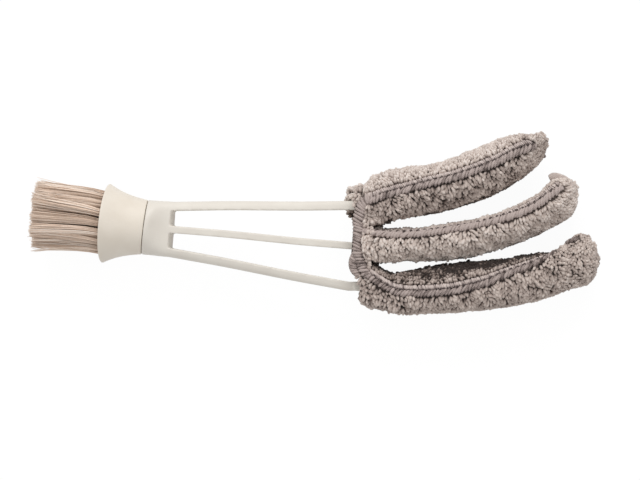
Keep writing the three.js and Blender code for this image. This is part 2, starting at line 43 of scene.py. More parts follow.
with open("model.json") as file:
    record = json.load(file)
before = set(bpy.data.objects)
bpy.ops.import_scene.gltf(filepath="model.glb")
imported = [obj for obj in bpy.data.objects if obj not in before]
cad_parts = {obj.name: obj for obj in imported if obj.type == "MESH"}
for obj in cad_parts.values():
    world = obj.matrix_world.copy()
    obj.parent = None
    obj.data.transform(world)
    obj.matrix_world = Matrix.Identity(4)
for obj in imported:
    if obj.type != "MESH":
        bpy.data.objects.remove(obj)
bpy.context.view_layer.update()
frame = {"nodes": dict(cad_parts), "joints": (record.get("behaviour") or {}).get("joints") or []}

MM = 0.001
UP = np.array([0.0, 0.0, 1.0])

PIVOTS_M = {joint["name"]: np.array(joint["pos_m"]) for joint in frame["joints"] if joint.get("pos_m")}
SEAM_X_M = (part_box("brush_collar")[1][0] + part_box("handle_frame")[0][0]) / 2
ORIGIN = np.array([SEAM_X_M, *PIVOTS_M["middle_finger_flex"][1:]])


def node_box(name):
    """A CAD node's lowest and highest corners in the tool's frame."""
    return [(np.array(corner) - ORIGIN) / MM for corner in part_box(name)]


# Collar
NECK_RADIUS = 15.9
RIM_RADIUS = 23.0
COLLAR_LENGTH = 23.4
LIP_THICKNESS = 3.0
LIP_ROUNDING = 0.6
LIP_INNER_RADIUS = RIM_RADIUS - LIP_THICKNESS
NECK_ROUNDING = 0.5
COLLAR_FLOOR = 2.4
STEM_RADIUS = 7.3
SEAT_GAP = 0.3
FLARE_STRAIGHT_SHARE = 0.45
FLARE_POWER = 2.6
BLOCK_RADIUS = node_box("tuft_block")[1][1]
BLOCK_FACE_X = node_box("tuft_block")[0][0]
POCKET_DEPTH = 6.5
POCKET_TAPER = 3.0
POCKET_LEDGE = 6.4
BRUSH_RISE_SHARE = 0.02
RIM_LEAN_ACROSS = 0.02
SEAM_LEAN_ACROSS = 0.045
SEAM_LEAN_FRONT = 0.12
SEAM_LEAN_REACH = 9.0

# Brush
BRISTLE_TIP_X = node_box("bristles_outer")[0][0]
TUFT_PITCH = 5.5
TUFT_ROOT_RADIUS = 2.05
TUFT_TIP_RADIUS = 3.6
TUFT_LEAN = 2.9
TUFT_LEAN_MOST = 1.7 * TUFT_LEAN
BRISTLE_RISE = 1.1
FILAMENT_RADIUS = 0.19
FILAMENT_SIDES = 5
FILAMENT_SHARES = np.array([0.0, 0.1, 0.24, 0.42, 0.62, 0.82, 1.0])
FILAMENT_SWAY = 0.32
FILAMENT_CURL = 0.12
FILAMENT_SCATTER = 1.3
FILAMENT_ROOT_SHARE = 0.35
BRISTLE_END_GAP = 0.2
FILAMENT_TONE = 0.655
FILAMENT_TONE_SPREAD = 0.17
# Where the brush's painted light rises across it, from the middle towards each side
PAINTED_LIGHT_SIDES = (3, 14)
STRAY_SHARE = 0.04
STRAY_REACH = 3.8

# Handle
HUB_LENGTH = 16.0
HUB_HALF_DEPTH = 8.25
HUB_POINTS = 96
ROD_END_HALF_DEPTH = 3.5
OUTER_ROD_WIDTH = 5.3
MIDDLE_ROD_WIDTH = 4.2
ROD_BOW = 0.9
ROD_BOW_START = (40, 100)
ROD_BOW_END = (122, 128)
ROD_ROOT_SPREAD = 13.5
ROD_OVERLAP = 3.0
ROD_POINTS = 16
ROD_EDGE_HALF_DEPTH = 0.02
SOCKET_START = -3.0
SOCKET_END = 11.7
SOCKET_AXIS = 0.01
CROSSBAR_THICKNESS = 3.8
CROSSBAR_INSET = 5.4
CUP_WIDTH = 6.4
CUP_SETBACK = 2.4
KNUCKLE_CUP_RADIUS = 3.5
MOULDING_VOXEL = 0.425

# Cover
MOUTH_X = node_box("mouth_cuff")[0][0]
CUFF_HALF_HEIGHT = node_box("mouth_cuff")[1][1]
CUFF_HALF_DEPTH = node_box("mouth_cuff")[1][2]
SLEEVE_HALF_DEPTH = 16.8
MOUTH_HALF_DEPTH = 14.0
MOUTH_RUN_BACK = 8.6
LOWER_CORNER = (11, 22)
UPPER_CORNER = (6, 26)
UPPER_ROD = (20, 27)
BEHIND = (1, 8)
CUFF_THICKNESS = 1.6
CUFF_LENGTH = 11.5
CUFF_POWER = 3.6
CUFF_MOUTH_INSET = np.array([4.4, 2.6])
CUFF_END_INSET = np.array([1.4, 1.2])
CUFF_FLARE = np.array([0.6, 0.5])
CUFF_COLUMNS = 160
EDGE_ROWS = 4
FLAP_ROWS = 8
EDGE_PILE_LENGTHS = (2.6, 4.2)
ELASTIC_POINTS = 240
ELASTIC_SIDES = 12
CORNER_REACH = 6.6
TIP_ROUNDING = 12.0
TIP_POWER = 2.5
SECTION_POWERS = (5.0, 2.5, 2.5)
LEAST_REACH = 0.9
LEAST_HALF = 0.6
RAIL_HANDLE_SHARE = 0.36
RAIL_STEP = 0.25
ROOT_TURN_LENGTH = 16.0
ROOT_SHARE = 0.22
TIP_SHARES = (0.6, 0.9)
ROW_STEP = 0.8
BACKING_INSET = 2.1
TIP_INSET = 2.8
BACKING_THICKNESS = 0.9
OUTLINE_ANGLES = np.linspace(0, 2 * np.pi, 721)

# Cloth simulation
CLOTH_ROWS = 44
CLOTH_COLUMN_STEP = 3
CLOTH_FRAMES = 20
CLOTH_PRESSURE = 30.0
CLOTH_BENDING = 0.05
CLOTH_CAP = 1.2

# Tapes and bands. The rib tables go across a tape, from edge to edge.
TAPE_WIDTH = 3.9
TAPE_HALF = TAPE_WIDTH / 2 - 0.5
TAPE_CROWN = 0.9
RIB_RADIUS = 0.92
RIB_SIDES = 7
RIB_SCATTER = 0.13
RIB_WANDER = 0.25
RIB_PLACES = np.array([-1.15, -0.88, -0.48, 0.0, 0.48, 0.88, 1.15])
RIB_RISES = np.array([-1.5, -0.55, -0.1, 0.05, -0.1, -0.55, -1.5])
RIB_GIRTHS = np.array([0.7, 0.92, 1.0, 1.04, 1.0, 0.92, 0.7])
# Pitch, radius and slant of the ribs
TAPE_FORM = (2.0, RIB_RADIUS, 1.3)
BAND_FORM = (1.85, RIB_RADIUS, 0.9)
BULGE_FORM = (1.5, 0.75, 0.9)
EDGE_ROW_FORM = (1.05, 0.6, -0.5)
STRIP_PLACES = np.linspace(-1, 1, 9)
STRIP_UNDER_PLACES = np.array([0.9, 0.0, -0.9])
SEAM_PITCH = 4.1
EDGE_ROW_WIDTH = 3.0
EDGE_ROW_HEIGHT = 1.3
STITCH_PLACES = np.array([-1.0, -0.5, 0.0, 0.5, 1.0])
STITCH_RADII = (0.3, 0.4, 0.45, 0.4, 0.3)
BAND_HALF_WIDTH = 3.0
BAND_FOOT = -17
BAND_HEAD = 21
BAND_INSET = 1.6
BAND_HEIGHT = 1.6
BAND_TILT = -0.12
BAND_CROWN = 1.1
BAND_WIDE_START = (8, 16)
BAND_WIDE_END = (27, 30)
BAND_PALE_ZONE = (4, 20)
BULGE_INSET = 2.2
BULGE_HEIGHT = 1.3
BULGE_CROWN = 1.6
FOLD_HEIGHT = 0.7
FOLD_CROWN = 0.5
BAND_POINTS = 90
BULGE_POINTS = 40
FOLD_POINTS = 26

# Pile. The tuft tables go from root to tip.
PILE_SINK = 0.5
SHORT_PILE_SHARE = 0.085
FINE_PILE_SHARE = 0.3
TIP_PILE_LENGTH = 5.0
TIP_TONE_START = 26
TIP_TONE_END = 8
EDGE_JITTER = (-0.9, 0.3)
ROOT_JITTER = (-0.3, 0.3)
TUFT_SIDES = 6
TUFT_ROLL = np.array([0.0, 0.3, 0.6, 0.85, 1.0])
TUFT_GIRTHS = np.array([0.7, 0.95, 1.1, 1.08, 0.78])
# Painted shade at a tuft's root that rises to painted light at its tip
TUFT_PAINTED_SHADING = np.array([-0.05, 0.2, 0.5, 0.68, 0.76])
CLUMP_WIDTH = 6.5
SWIRL_WIDTH = 10.0
SWIRL = 34
SWIRL_SCATTER = 20
LEAN_TURN_SHARE = 0.85
LEAN_AHEAD = 0.1
BEND_SCATTER = 14
TONE_SCATTER = 0.1
# Where the painted shade above the lower finger's tape lies, and how it eases off towards the root
PAINTED_SHADE_ZONE = (0.045, 0.125)
PAINTED_SHADE_END = 0.32
PAINTED_SHADE_ROOT = (15, 50)

# How the pile varies round a finger: coarse on the faces, finer above the front tape, short along
# the lower edge
PILE_KINDS = {
    "coarse": {"pitch": 1.32, "radius": 0.76, "length": 4.0, "bend": 94.0},
    "fine": {"pitch": 1.1, "radius": 0.68, "length": 2.8, "bend": 88.0},
    "short": {"pitch": 1.0, "radius": 0.55, "length": 1.7, "bend": 85.0},
}

PIVOT_X = (PIVOTS_M["middle_finger_flex"][0] - ORIGIN[0]) / MM
PIVOT_SPREAD = (PIVOTS_M["upper_finger_flex"][1] - ORIGIN[1]) / MM
CROSSBAR_END = MOUTH_X + CROSSBAR_THICKNESS

# Tables along each finger's middle line, whose zero is at the root knuckle: how far the pile's edge
# lies above and below the line, and how far above it the front tape's centre lies. The tones are the
# pile's: above the front tape, below it, at the tip and along the lower edge, where the darker tone
# is painted shade on the underside; the lower finger's darker tone above its tape is painted shade
# too. The shade is painted shade, which takes a tone down above the front tape where the middle
# finger shadows the lower one.
FINGERS = {
    "upper": {
        "pivot_y": PIVOT_SPREAD, "root_rise": 1.6, "reach": 90.3, "rise": 38.3,
        "headings": (22.0, 30.0), "twist": (0.0, 14.0, 20.0), "start": -13.5, "seed": 11,
        "tones": (0.12, -0.19, 0.0, -0.5), "shade": 0.0, "tape_tone": 0.0,
        "edges": [
            (-14, 11.0, 14.5), (-10, 13.6, 13.6), (-5, 15.7, 12.4), (0, 16.2, 10.9), (8, 16.1, 12.8),
            (16, 15.2, 14.6), (24, 13.6, 15.6), (32, 12.6, 16.1), (40, 12.5, 15.9), (48, 13.4, 15.8),
            (56, 14.3, 15.4), (64, 14.9, 14.4), (72, 15.2, 12.7), (80, 14.8, 10.5), (86, 14.0, 8.8),
            (90, 12.9, 7.6), (94, 11.5, 4.8), (97, 10.4, 2.2), (100.5, 7.8, -2.8),
        ],
        "tape": [
            (-14, 0.0), (-8, 1.7), (0, 2.4), (12, 1.7), (28, 1.3), (43, 0.6), (56, 0.9), (70, 1.8),
            (79, 3.2), (92, 3.8),
        ],
    },
    "middle": {
        "pivot_y": 0.0, "root_rise": 0.3, "reach": 109.6, "rise": 39.3,
        "headings": (3.9, 37.0), "twist": (0.0, 15.0, 20.0), "start": -15.0, "seed": 12,
        "tones": (0.12, 0.1, 0.18, -0.14), "shade": 0.0, "tape_tone": 0.6,
        "edges": [
            (-15, 12.2, 10.2), (-5, 10.8, 8.4), (0, 9.7, 8.4), (8, 9.7, 8.6), (16, 10.0, 8.9),
            (32, 10.5, 10.5), (48, 10.5, 11.3), (56, 10.2, 10.9), (64, 9.6, 10.4), (72, 9.9, 10.6),
            (80, 10.5, 10.6), (88, 10.3, 10.4), (96, 10.9, 10.1), (102, 12.0, 10.1), (107, 14.0, 9.8),
            (111, 14.9, 9.1), (114, 14.4, 7.6), (117.5, 12.7, 3.9), (120, 11.4, -0.3), (121.6, 9.4, -4.6),
        ],
        "tape": [
            (-15, 8.2), (-8, 7.6), (-2, 6.4), (6, 5.8), (21, 5.8), (45, 6.0), (60, 5.3), (79, 4.5),
            (87, 4.1), (96, 4.4), (105, 5.6), (112, 6.6),
        ],
    },
    "lower": {
        "pivot_y": -PIVOT_SPREAD, "root_rise": 0.5, "reach": 125.6, "rise": 27.4,
        "headings": (0.9, 22.0), "twist": (0.0, 0.0, 14.0), "start": -10.5, "seed": 13,
        # painted shade: the darker tone above the tape, and the shade, where the middle finger shadows
        # this one
        "tones": (-0.22, -0.17, -0.1, -0.2), "shade": 0.58, "tape_tone": -0.15,
        "edges": [
            (-11, 17.0, 6.2), (-9, 15.8, 8.6), (-6, 14.0, 10.2), (0, 11.4, 11.6), (6, 9.2, 12.8),
            (12, 9.9, 13.8), (16, 10.8, 14.1), (24, 12.2, 13.7), (32, 13.6, 13.9), (48, 15.0, 13.6),
            (60, 14.5, 14.0), (72, 13.7, 14.2), (88, 14.0, 14.0), (96, 13.5, 13.2), (103, 12.0, 12.0),
            (108, 12.4, 11.6), (113, 14.2, 12.2), (119, 16.7, 12.8), (122.5, 18.3, 12.0),
            (125.5, 18.9, 9.4), (128, 17.3, 6.5), (130.5, 10.9, 0.3),
        ],
        "tape": [
            (-11, 11.4), (-8, 9.0), (-4, 6.3), (0, 3.9), (4.4, 1.6), (10, -0.8), (17, -1.7), (30, -1.5),
            (45, -0.9), (56, 0.5), (64, 1.4), (71, 3.0), (79, 4.6), (87, 5.6), (95, 6.7), (103, 8.6),
            (112, 12.3), (119, 14.2),
        ],
    },
}

# The front band's middle line (x, y): it leaves the upper tape, crosses the mouth and joins the lower
FRONT_BAND_ROUTE = [
    (138.6, 30.0), (134.4, 28.1), (131.0, 25.4), (129.2, 22.3), (128.3, 19.0), (127.6, 15.6),
    (127.3, 12.4), (127.6, 9.3), (127.8, 5.5), (127.9, 1.6), (128.0, -2.8), (129.0, -6.3),
    (130.8, -10.3), (132.6, -13.6), (134.9, -16.7), (137.9, -18.7),
]
BULGE_ROUTE = [(127.4, -3.6), (126.6, -7.8), (126.5, -11.2), (127.6, -14.8), (130.4, -18.2)]
FOLD_ROUTE = [
    (234.9, 47.5, 2.5), (237.6, 48.7, 3.4), (242.0, 48.0, 4.6), (246.0, 46.2, 5.6), (248.6, 42.8, 5.6),
]

# The photograph's view: the tool tilted and rolled before a long lens
VIEW_TILT = math.radians(9.5)
VIEW_ROLL = math.radians(4.7)
VIEW_AIM = np.array([103.6, 0.95, 0.0])
LENS = 500.0
SENSOR = 36.0
IMAGE_WIDTH = 640
PIXEL = 0.58

FLOOR_HALF_WIDTH = 4000.0
FLOOR_GLOW = 1.09
FLOOR_GLOW_SHARE = 0.87
WORLD_STRENGTH = 0.7


# Numbers

def smooth(value, low, high):
    share = np.clip((np.asarray(value, float) - low) / (high - low), 0, 1)
    return share * share * (3 - 2 * share)


def blend_between(a, b, share):
    return a + (b - a) * share


def unit(vectors):
    return vectors / np.maximum(np.linalg.norm(vectors, axis=-1, keepdims=True), 1e-9)


def square_to(vectors, axis):
    """Unit vectors along the part of vectors that is square to an axis."""
    return unit(vectors - axis * (vectors * axis).sum(-1, keepdims=True))


def bend(values, power):
    return np.sign(values) * np.abs(values) ** (2 / power)


def angles(count, shift=0):
    """The angles of count even steps round a circle."""
    return (np.arange(count) + shift) / count * 2 * np.pi


def short_way(turn):
    """A turn as -0.5 to 0.5."""
    return (turn + 0.5) % 1 - 0.5


def waves(points, wavelength, seed, count=9):
    """A smooth field from -1 to 1 over points, made of crossing waves."""
    random = np.random.default_rng(seed)
    directions = unit(random.normal(size=(count, points.shape[-1])))
    lengths = wavelength * random.uniform(0.7, 1.6, count)
    phases = random.uniform(0, 2 * np.pi, count)
    turns = points @ (directions * (2 * np.pi / lengths[:, None])).T + phases
    return np.clip(np.sin(turns).sum(-1) / math.sqrt(count), -1, 1)


def clipped_normal(random, mean, spread, total, low, high):
    return np.clip(random.normal(mean, spread, total), low, high)


def run_length(points):
    """Distance along a line of points, from the first to each of them."""
    return np.concatenate([[0], np.cumsum(np.linalg.norm(np.diff(points, axis=0), axis=1))])


def points_at(where, known, points):
    """Points of a line at some of its places, where known has the places of its points."""
    return np.stack([np.interp(where, known, column) for column in points.T], -1)


def at_row(table, row):
    """A table's values at fractional row numbers."""
    rows = np.arange(len(table))
    return np.interp(row, rows, table) if table.ndim == 1 else points_at(row, rows, table)


def even_section(wide, tall, power, count):
    """A superellipse's two coordinates at even steps of arc length, and its whole length."""
    first = wide * bend(np.sin(OUTLINE_ANGLES), power)
    second = tall * bend(np.cos(OUTLINE_ANGLES), power)
    run = np.concatenate([[0], np.cumsum(np.hypot(np.diff(first), np.diff(second)))])
    even = np.arange(count) / count * run[-1]
    return np.interp(even, run, first), np.interp(even, run, second), run[-1]


def curve_through(points, count):
    """Points of a smooth curve through a few given ones, even by arc length."""
    points = np.asarray(points, float)
    padded = np.concatenate([[2 * points[0] - points[1]], points, [2 * points[-1] - points[-2]]])
    found = []
    for p0, p1, p2, p3 in zip(padded, padded[1:], padded[2:], padded[3:]):
        t = np.linspace(0, 1, 20, endpoint=False)[:, None]
        found.append(0.5 * (
            2 * p1 + (p2 - p0) * t + (2 * p0 - 5 * p1 + 4 * p2 - p3) * t ** 2
            + (3 * p1 - p0 - 3 * p2 + p3) * t ** 3
        ))
    found = np.concatenate([*found, points[-1:]])
    run = run_length(found)
    return points_at(np.linspace(0, run[-1], count), run, found)


# Meshes

def read_points(mesh):
    """A mesh's points in the tool's frame."""
    places = np.empty(3 * len(mesh.vertices), np.float32)
    mesh.vertices.foreach_get("co", places)
    return (places.reshape(-1, 3) - ORIGIN) / MM


def write_points(mesh, points):
    mesh.vertices.foreach_set("co", (ORIGIN + points * MM).astype(np.float32).ravel())


def mesh_piece(name, points, face_sets, material, tone=None):
    """A mesh object from points in the tool's frame and arrays of faces of equal corner counts. Its
    tone, where it has one, lightens or darkens its material."""
    corners = np.concatenate([faces.ravel() for faces in face_sets]).astype(np.int32)
    sizes = np.concatenate([np.full(len(faces), faces.shape[1]) for faces in face_sets])
    starts = np.concatenate([[0], np.cumsum(sizes)[:-1]]).astype(np.int32)
    mesh = bpy.data.meshes.new(name)
    mesh.vertices.add(len(points))
    write_points(mesh, points)
    mesh.loops.add(len(corners))
    mesh.loops.foreach_set("vertex_index", corners)
    mesh.polygons.add(len(sizes))
    mesh.polygons.foreach_set("loop_start", starts)
    mesh.update(calc_edges=True)
    mesh.validate()
    mesh.shade_smooth()
    piece = bpy.data.objects.new(name, mesh)
    bpy.context.scene.collection.objects.link(piece)
    mesh.materials.append(material)
    if tone is not None:
        values = np.broadcast_to(np.ravel(tone), len(points)).astype(np.float32)
        mesh.attributes.new("tone", "FLOAT", "POINT").data.foreach_set("value", values)
    return piece


def attach(piece, body, node=None):
    """Rides a piece on a body, in place of a CAD node where one is named."""
    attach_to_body(piece, body)
    if node:
        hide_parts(node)


def sew_on(piece, node=None):
    """Bakes a piece's place into its mesh, in place of a CAD node where one is named."""
    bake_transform(piece)
    if node:
        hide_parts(node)


def ring_faces(rings, count, closed_rows=False):
    """Quads between rings of count points, the rings in turn."""
    row = np.arange(rings if closed_rows else rings - 1)[:, None] * count
    here = np.arange(count)[None, :]
    after = (here + 1) % count
    up = (row + count) % (rings * count)
    return np.stack([row + here, row + after, up + after, up + here], -1).reshape(-1, 4)


def loft(rings):
    """Points and faces of a closed skin through rings of equal point counts."""
    rings = np.asarray(rings, float)
    total, count = rings.shape[:2]
    points = np.concatenate([rings.reshape(-1, 3), [rings[0].mean(0), rings[-1].mean(0)]])
    here = np.arange(count)
    after = (here + 1) % count
    first = np.stack([np.full(count, total * count), after, here], -1)
    base = (total - 1) * count
    last = np.stack([np.full(count, total * count + 1), base + here, base + after], -1)
    return points, [ring_faces(total, count), first, last]


def shell(outer, inner):
    """Points and faces of a closed sheet between two equal open grids."""
    rows, cols = outer.shape[:2]
    number = np.arange(rows * cols).reshape(rows, cols)
    top = np.stack([number[:-1, :-1], number[:-1, 1:], number[1:, 1:], number[1:, :-1]], -1)
    top = top.reshape(-1, 4)
    edge = np.concatenate([number[0, :-1], number[:-1, -1], number[-1, :0:-1], number[:0:-1, 0]])
    after = np.roll(edge, -1)
    shift = rows * cols
    rim = np.stack([after, edge, edge + shift, after + shift], -1)
    points = np.concatenate([outer.reshape(-1, 3), inner.reshape(-1, 3)])
    return points, [top, top[:, ::-1] + shift, rim]


def tufts(paths, radii, sides, side):
    """Points and faces of many tapering tubes: paths are (n, m, 3), radii (n, m), and side (n, 3) is
    square to each path's plane. Each tube is open at its hidden root and has a round tip."""
    total, steps = paths.shape[:2]
    along = unit(np.gradient(paths, axis=1))
    first = unit(np.cross(np.cross(along, side[:, None]), along))
    second = np.cross(along, first)
    turn = angles(sides)
    spokes = first[:, :, None] * np.cos(turn)[:, None] + second[:, :, None] * np.sin(turn)[:, None]
    rings = paths[:, :, None] + spokes * radii[:, :, None, None]
    tips = paths[:, -1] + along[:, -1] * radii[:, -1:] * 0.8
    points = np.concatenate([rings.reshape(total, -1, 3), tips[:, None]], axis=1)
    per = steps * sides + 1
    base = np.arange(total)[:, None, None] * per
    quads = (base + ring_faces(steps, sides)[None]).reshape(-1, 4)
    here = (steps - 1) * sides + np.arange(sides)
    after = (steps - 1) * sides + (np.arange(sides) + 1) % sides
    cap = np.stack([here, after, np.full(sides, per - 1)], -1)
    return points.reshape(-1, 3), [quads, (base + cap[None]).reshape(-1, 3)]


def tuft_points(values, sides, at_tip=0.0):
    """Values at the steps of tufts' paths, spread to all their points."""
    return np.concatenate([np.repeat(values, sides, axis=1), values[:, -1:] + at_tip], axis=1)


def turned_x(profile, segments=144):
    """A closed profile of [radius, x] points turned about the x axis."""
    profile = np.asarray(profile, float)
    turn = angles(segments)
    radius = profile[:, 0][:, None]
    places = np.broadcast_to(profile[:, 1][:, None], (len(profile), segments))
    points = np.stack([places, radius * np.cos(turn), radius * np.sin(turn)], -1)
    return points.reshape(-1, 3), [ring_faces(len(profile), segments, closed_rows=True)]


def arc(centre, radius, start, end, steps=6):
    """Points of an arc about a (radius, x) centre, angles in degrees from the radial direction."""
    angle = np.radians(np.linspace(start, end, steps))
    return np.stack([centre[0] + radius * np.cos(angle), centre[1] + radius * np.sin(angle)], -1)


def merge(parts):
    points, faces, shift = [], [], 0
    for part_points, part_faces in parts:
        points.append(part_points)
        faces += [face_set + shift for face_set in part_faces]
        shift += len(part_points)
    return np.concatenate(points), faces


def apply_modifiers(piece):
    bpy.context.view_layer.objects.active = piece
    for modifier in list(piece.modifiers):
        with bpy.context.temp_override(object=piece):
            bpy.ops.object.modifier_apply(modifier=modifier.name)


# Materials

def linear(red, green, blue):
    def channel(value):
        value = value / 255
        return value / 12.92 if value <= 0.04045 else ((value + 0.055) / 1.055) ** 2.4
    return (channel(red), channel(green), channel(blue), 1.0)


def add(tree, kind, settings=None, **inputs):
    """A node with its settings, and its inputs set to a value or linked to a socket."""
    made = tree.nodes.new(kind)
    for name, value in (settings or {}).items():
        setattr(made, name, value)
    for name, value in inputs.items():
        join(tree, value, made.inputs[name.replace("_", " ")])
    return made


def join(tree, source, socket):
    """Links a socket to a source socket, or sets it to a value."""
    if isinstance(source, bpy.types.NodeSocket):
        tree.links.new(source, socket)
    else:
        socket.default_value = source


def maths(tree, operation, *sources):
    made = add(tree, "ShaderNodeMath", {"operation": operation})
    for source, socket in zip(sources, made.inputs):
        join(tree, source, socket)
    return made.outputs[0]


def weigh(tree, value, factor, base):
    """value times factor plus base."""
    return maths(tree, "MULTIPLY_ADD", value, factor, base)


def ramp(tree, factor, stops):
    made = add(tree, "ShaderNodeValToRGB", Fac=factor)
    elements = made.color_ramp.elements
    while len(elements) < len(stops):
        elements.new(0.5)
    for element, (place, colour) in zip(elements, stops):
        element.position = place
        element.color = linear(*colour)
    return made.outputs["Color"]


def dress(tree, **sockets):
    """Sets or links inputs of a material's shader."""
    for name, value in sockets.items():
        join(tree, value, tree.nodes["Principled BSDF"].inputs[name.replace("_", " ")])


def start_material(name, **sockets):
    """A new material, its tree, and the place on the object."""
    material = bpy.data.materials.new(name)
    material.use_nodes = True
    tree = material.node_tree
    dress(tree, **sockets)
    return material, tree, add(tree, "ShaderNodeTexCoord").outputs["Object"]


def toned(tree, level):
    """A level plus the tone of a mesh's points."""
    tone = add(tree, "ShaderNodeAttribute", {"attribute_name": "tone"}).outputs["Fac"]
    return maths(tree, "ADD", tone, level)


def noise(tree, place, scale, detail=3.0):
    return add(tree, "ShaderNodeTexNoise", Vector=place, Scale=scale, Detail=detail).outputs["Fac"]


def relief(tree, height, strength, distance):
    bump = add(tree, "ShaderNodeBump", Strength=strength, Distance=distance, Height=height)
    return bump.outputs["Normal"]


def moulded_plastic(name, shade, tint, roughness):
    """Satin moulding: faint cloudiness in the colour, fine spark-eroded grain in the relief."""
    material, tree, place = start_material(name, Specular_IOR_Level=0.4)
    cloud = noise(tree, place, scale=70.0)
    grain = noise(tree, place, scale=1600.0, detail=2.0)
    sheen = weigh(tree, noise(tree, place, scale=240.0), 0.12, roughness - 0.06)
    dress(
        tree, Base_Color=ramp(tree, cloud, [(0.3, shade), (0.7, tint)]), Roughness=sheen,
        Normal=relief(tree, grain, strength=0.12, distance=0.00008),
    )
    return material


def filament_material():
    """Tone runs along each filament, with painted light and shade in it, and streaks from one to the
    next.
    """
    material, tree, place = start_material("bristle_filament", Roughness=0.5)
    streak = weigh(tree, noise(tree, place, scale=900.0, detail=2.0), 0.3, -0.15)
    stops = [(0.0, (132, 108, 92)), (0.4, (214, 190, 170))]
    stops += [(0.75, (246, 225, 207)), (1.0, (255, 243, 231))]
    dress(tree, Base_Color=ramp(tree, toned(tree, streak), stops))
    return material


def pile_material():
    """Looped yarn: painted shade down in the pile, painted light on its tips, and twisted fibres in the
    relief.
    """
    material, tree, place = start_material(
        "plush_pile", Roughness=0.95, Sheen_Weight=0.15, Specular_IOR_Level=0.15,
    )
    patch = weigh(tree, noise(tree, place, scale=110.0, detail=2.0), 0.24, -0.12)
    stops = [
        (0.0, (58, 49, 45)), (0.12, (104, 90, 83)), (0.35, (170, 155, 147)), (0.7, (208, 194, 185)),
        (1.0, (232, 220, 212)),
    ]
    fibre = noise(tree, place, scale=3200.0)
    dress(
        tree, Base_Color=ramp(tree, toned(tree, patch), stops),
        Normal=relief(tree, fibre, strength=0.5, distance=0.00012),
    )
    return material


def woven_material(name, dark, light, pitch, roughness=0.85):
    """Crossing threads in the relief and in the colour, over a slow change of shade."""
    material, tree, place = start_material(
        name, Roughness=roughness, Sheen_Weight=0.1, Specular_IOR_Level=0.2,
    )
    threads = []
    for angle in (0.9, -0.7):
        turned = add(tree, "ShaderNodeMapping", Vector=place, Rotation=(0.2, 0.1, angle))
        threads.append(add(
            tree, "ShaderNodeTexWave", Vector=turned.outputs["Vector"],
            Scale=math.pi / 10 / pitch, Distortion=1.2, Detail=1.0,
        ).outputs["Fac"])
    weave = maths(tree, "MAXIMUM", *threads)
    cloud = weigh(tree, noise(tree, place, scale=420.0), 1.1, toned(tree, -0.3))
    deep = [0.55 * channel for channel in dark]
    stops = [(0.0, deep), (0.25, dark), (0.95, light)]
    dress(
        tree, Base_Color=ramp(tree, weigh(tree, weave, 0.55, cloud), stops),
        Normal=relief(tree, weave, strength=0.7, distance=0.0002),
    )
    return material


COLLAR_PLASTIC = moulded_plastic("collar_plastic", (229, 219, 205), (236, 227, 214), 0.46)
HUB_PLASTIC = moulded_plastic("hub_plastic", (226, 219, 209), (232, 226, 216), 0.46)
PRONG_PLASTIC = moulded_plastic("prong_plastic", (214, 207, 197), (222, 216, 206), 0.55)
BLOCK_PLASTIC = moulded_plastic("block_plastic", (150, 132, 116), (164, 146, 130), 0.6)
FILAMENT = filament_material()
PILE = pile_material()
BACKING = woven_material("knit_backing", (70, 60, 56), (118, 105, 99), 0.0011, 0.95)
TAPE = woven_material("binding_tape", (105, 91, 87), (191, 176, 170), 0.0008)
STITCH = woven_material("stitch_thread", (176, 160, 155), (224, 210, 203), 0.0006)
DARK_THREAD = woven_material("dark_thread", (84, 73, 71), (118, 105, 102), 0.0006)
FOLD = woven_material("fold_fabric", (192, 177, 170), (220, 207, 200), 0.0007)
ELASTIC = woven_material("elastic_weave", (188, 181, 173), (220, 214, 206), 0.0008)


# Brush head

def flare_radius(x):
    share = np.clip(-x / (COLLAR_LENGTH - LIP_ROUNDING), 0, 1)
    rise = FLARE_STRAIGHT_SHARE * share + (1 - FLARE_STRAIGHT_SHARE) * share ** FLARE_POWER
    return blend_between(NECK_RADIUS, RIM_RADIUS, rise)


def seam_lean(points):
    """How far the seam between collar and hub runs aside of a plane square to the tool."""
    near = 1 - smooth(np.abs(points[:, 0]), 0, SEAM_LEAN_REACH)
    rim = RIM_LEAN_ACROSS * (1 - near) * (points[:, 0] < 0)
    return near * SEAM_LEAN_FRONT * points[:, 2] + (near * SEAM_LEAN_ACROSS + rim) * points[:, 1]


def make_collar():
    """The flared collar, turned from its profile, with the tuft block's pocket inside."""
    lip_x = -(COLLAR_LENGTH - LIP_ROUNDING)
    neck_x = -SEAT_GAP / 2
    places = np.linspace(neck_x - NECK_ROUNDING, lip_x, 40)
    outer = np.stack([flare_radius(places), places], -1)
    neck = arc((NECK_RADIUS - NECK_ROUNDING, neck_x - NECK_ROUNDING), NECK_ROUNDING, 90, 5, 5)
    rim_out = arc((RIM_RADIUS - LIP_ROUNDING, lip_x), LIP_ROUNDING, 0, -90, 8)[1:]
    rim_in = arc((LIP_INNER_RADIUS + LIP_ROUNDING, lip_x), LIP_ROUNDING, -90, -180, 8)
    back_x = BLOCK_FACE_X + POCKET_DEPTH
    inner = [
        [BLOCK_RADIUS + SEAT_GAP, BLOCK_FACE_X],
        [BLOCK_RADIUS - POCKET_TAPER + SEAT_GAP, back_x],
        [BLOCK_RADIUS - POCKET_LEDGE, back_x],
        [BLOCK_RADIUS - POCKET_LEDGE, -COLLAR_FLOOR],
        [STEM_RADIUS, -COLLAR_FLOOR],
        [STEM_RADIUS, neck_x],
    ]
    points, faces = turned_x(np.concatenate([neck, outer, rim_out, rim_in, inner])[::-1])
    points[:, 1] -= BRUSH_RISE_SHARE * points[:, 0]
    points[:, 0] += seam_lean(points)
    piece = mesh_piece("collar_shell", points, faces, COLLAR_PLASTIC)
    piece.data.set_sharp_from_angle(angle=math.radians(50))
    attach(piece, "brush_head", "brush_collar")


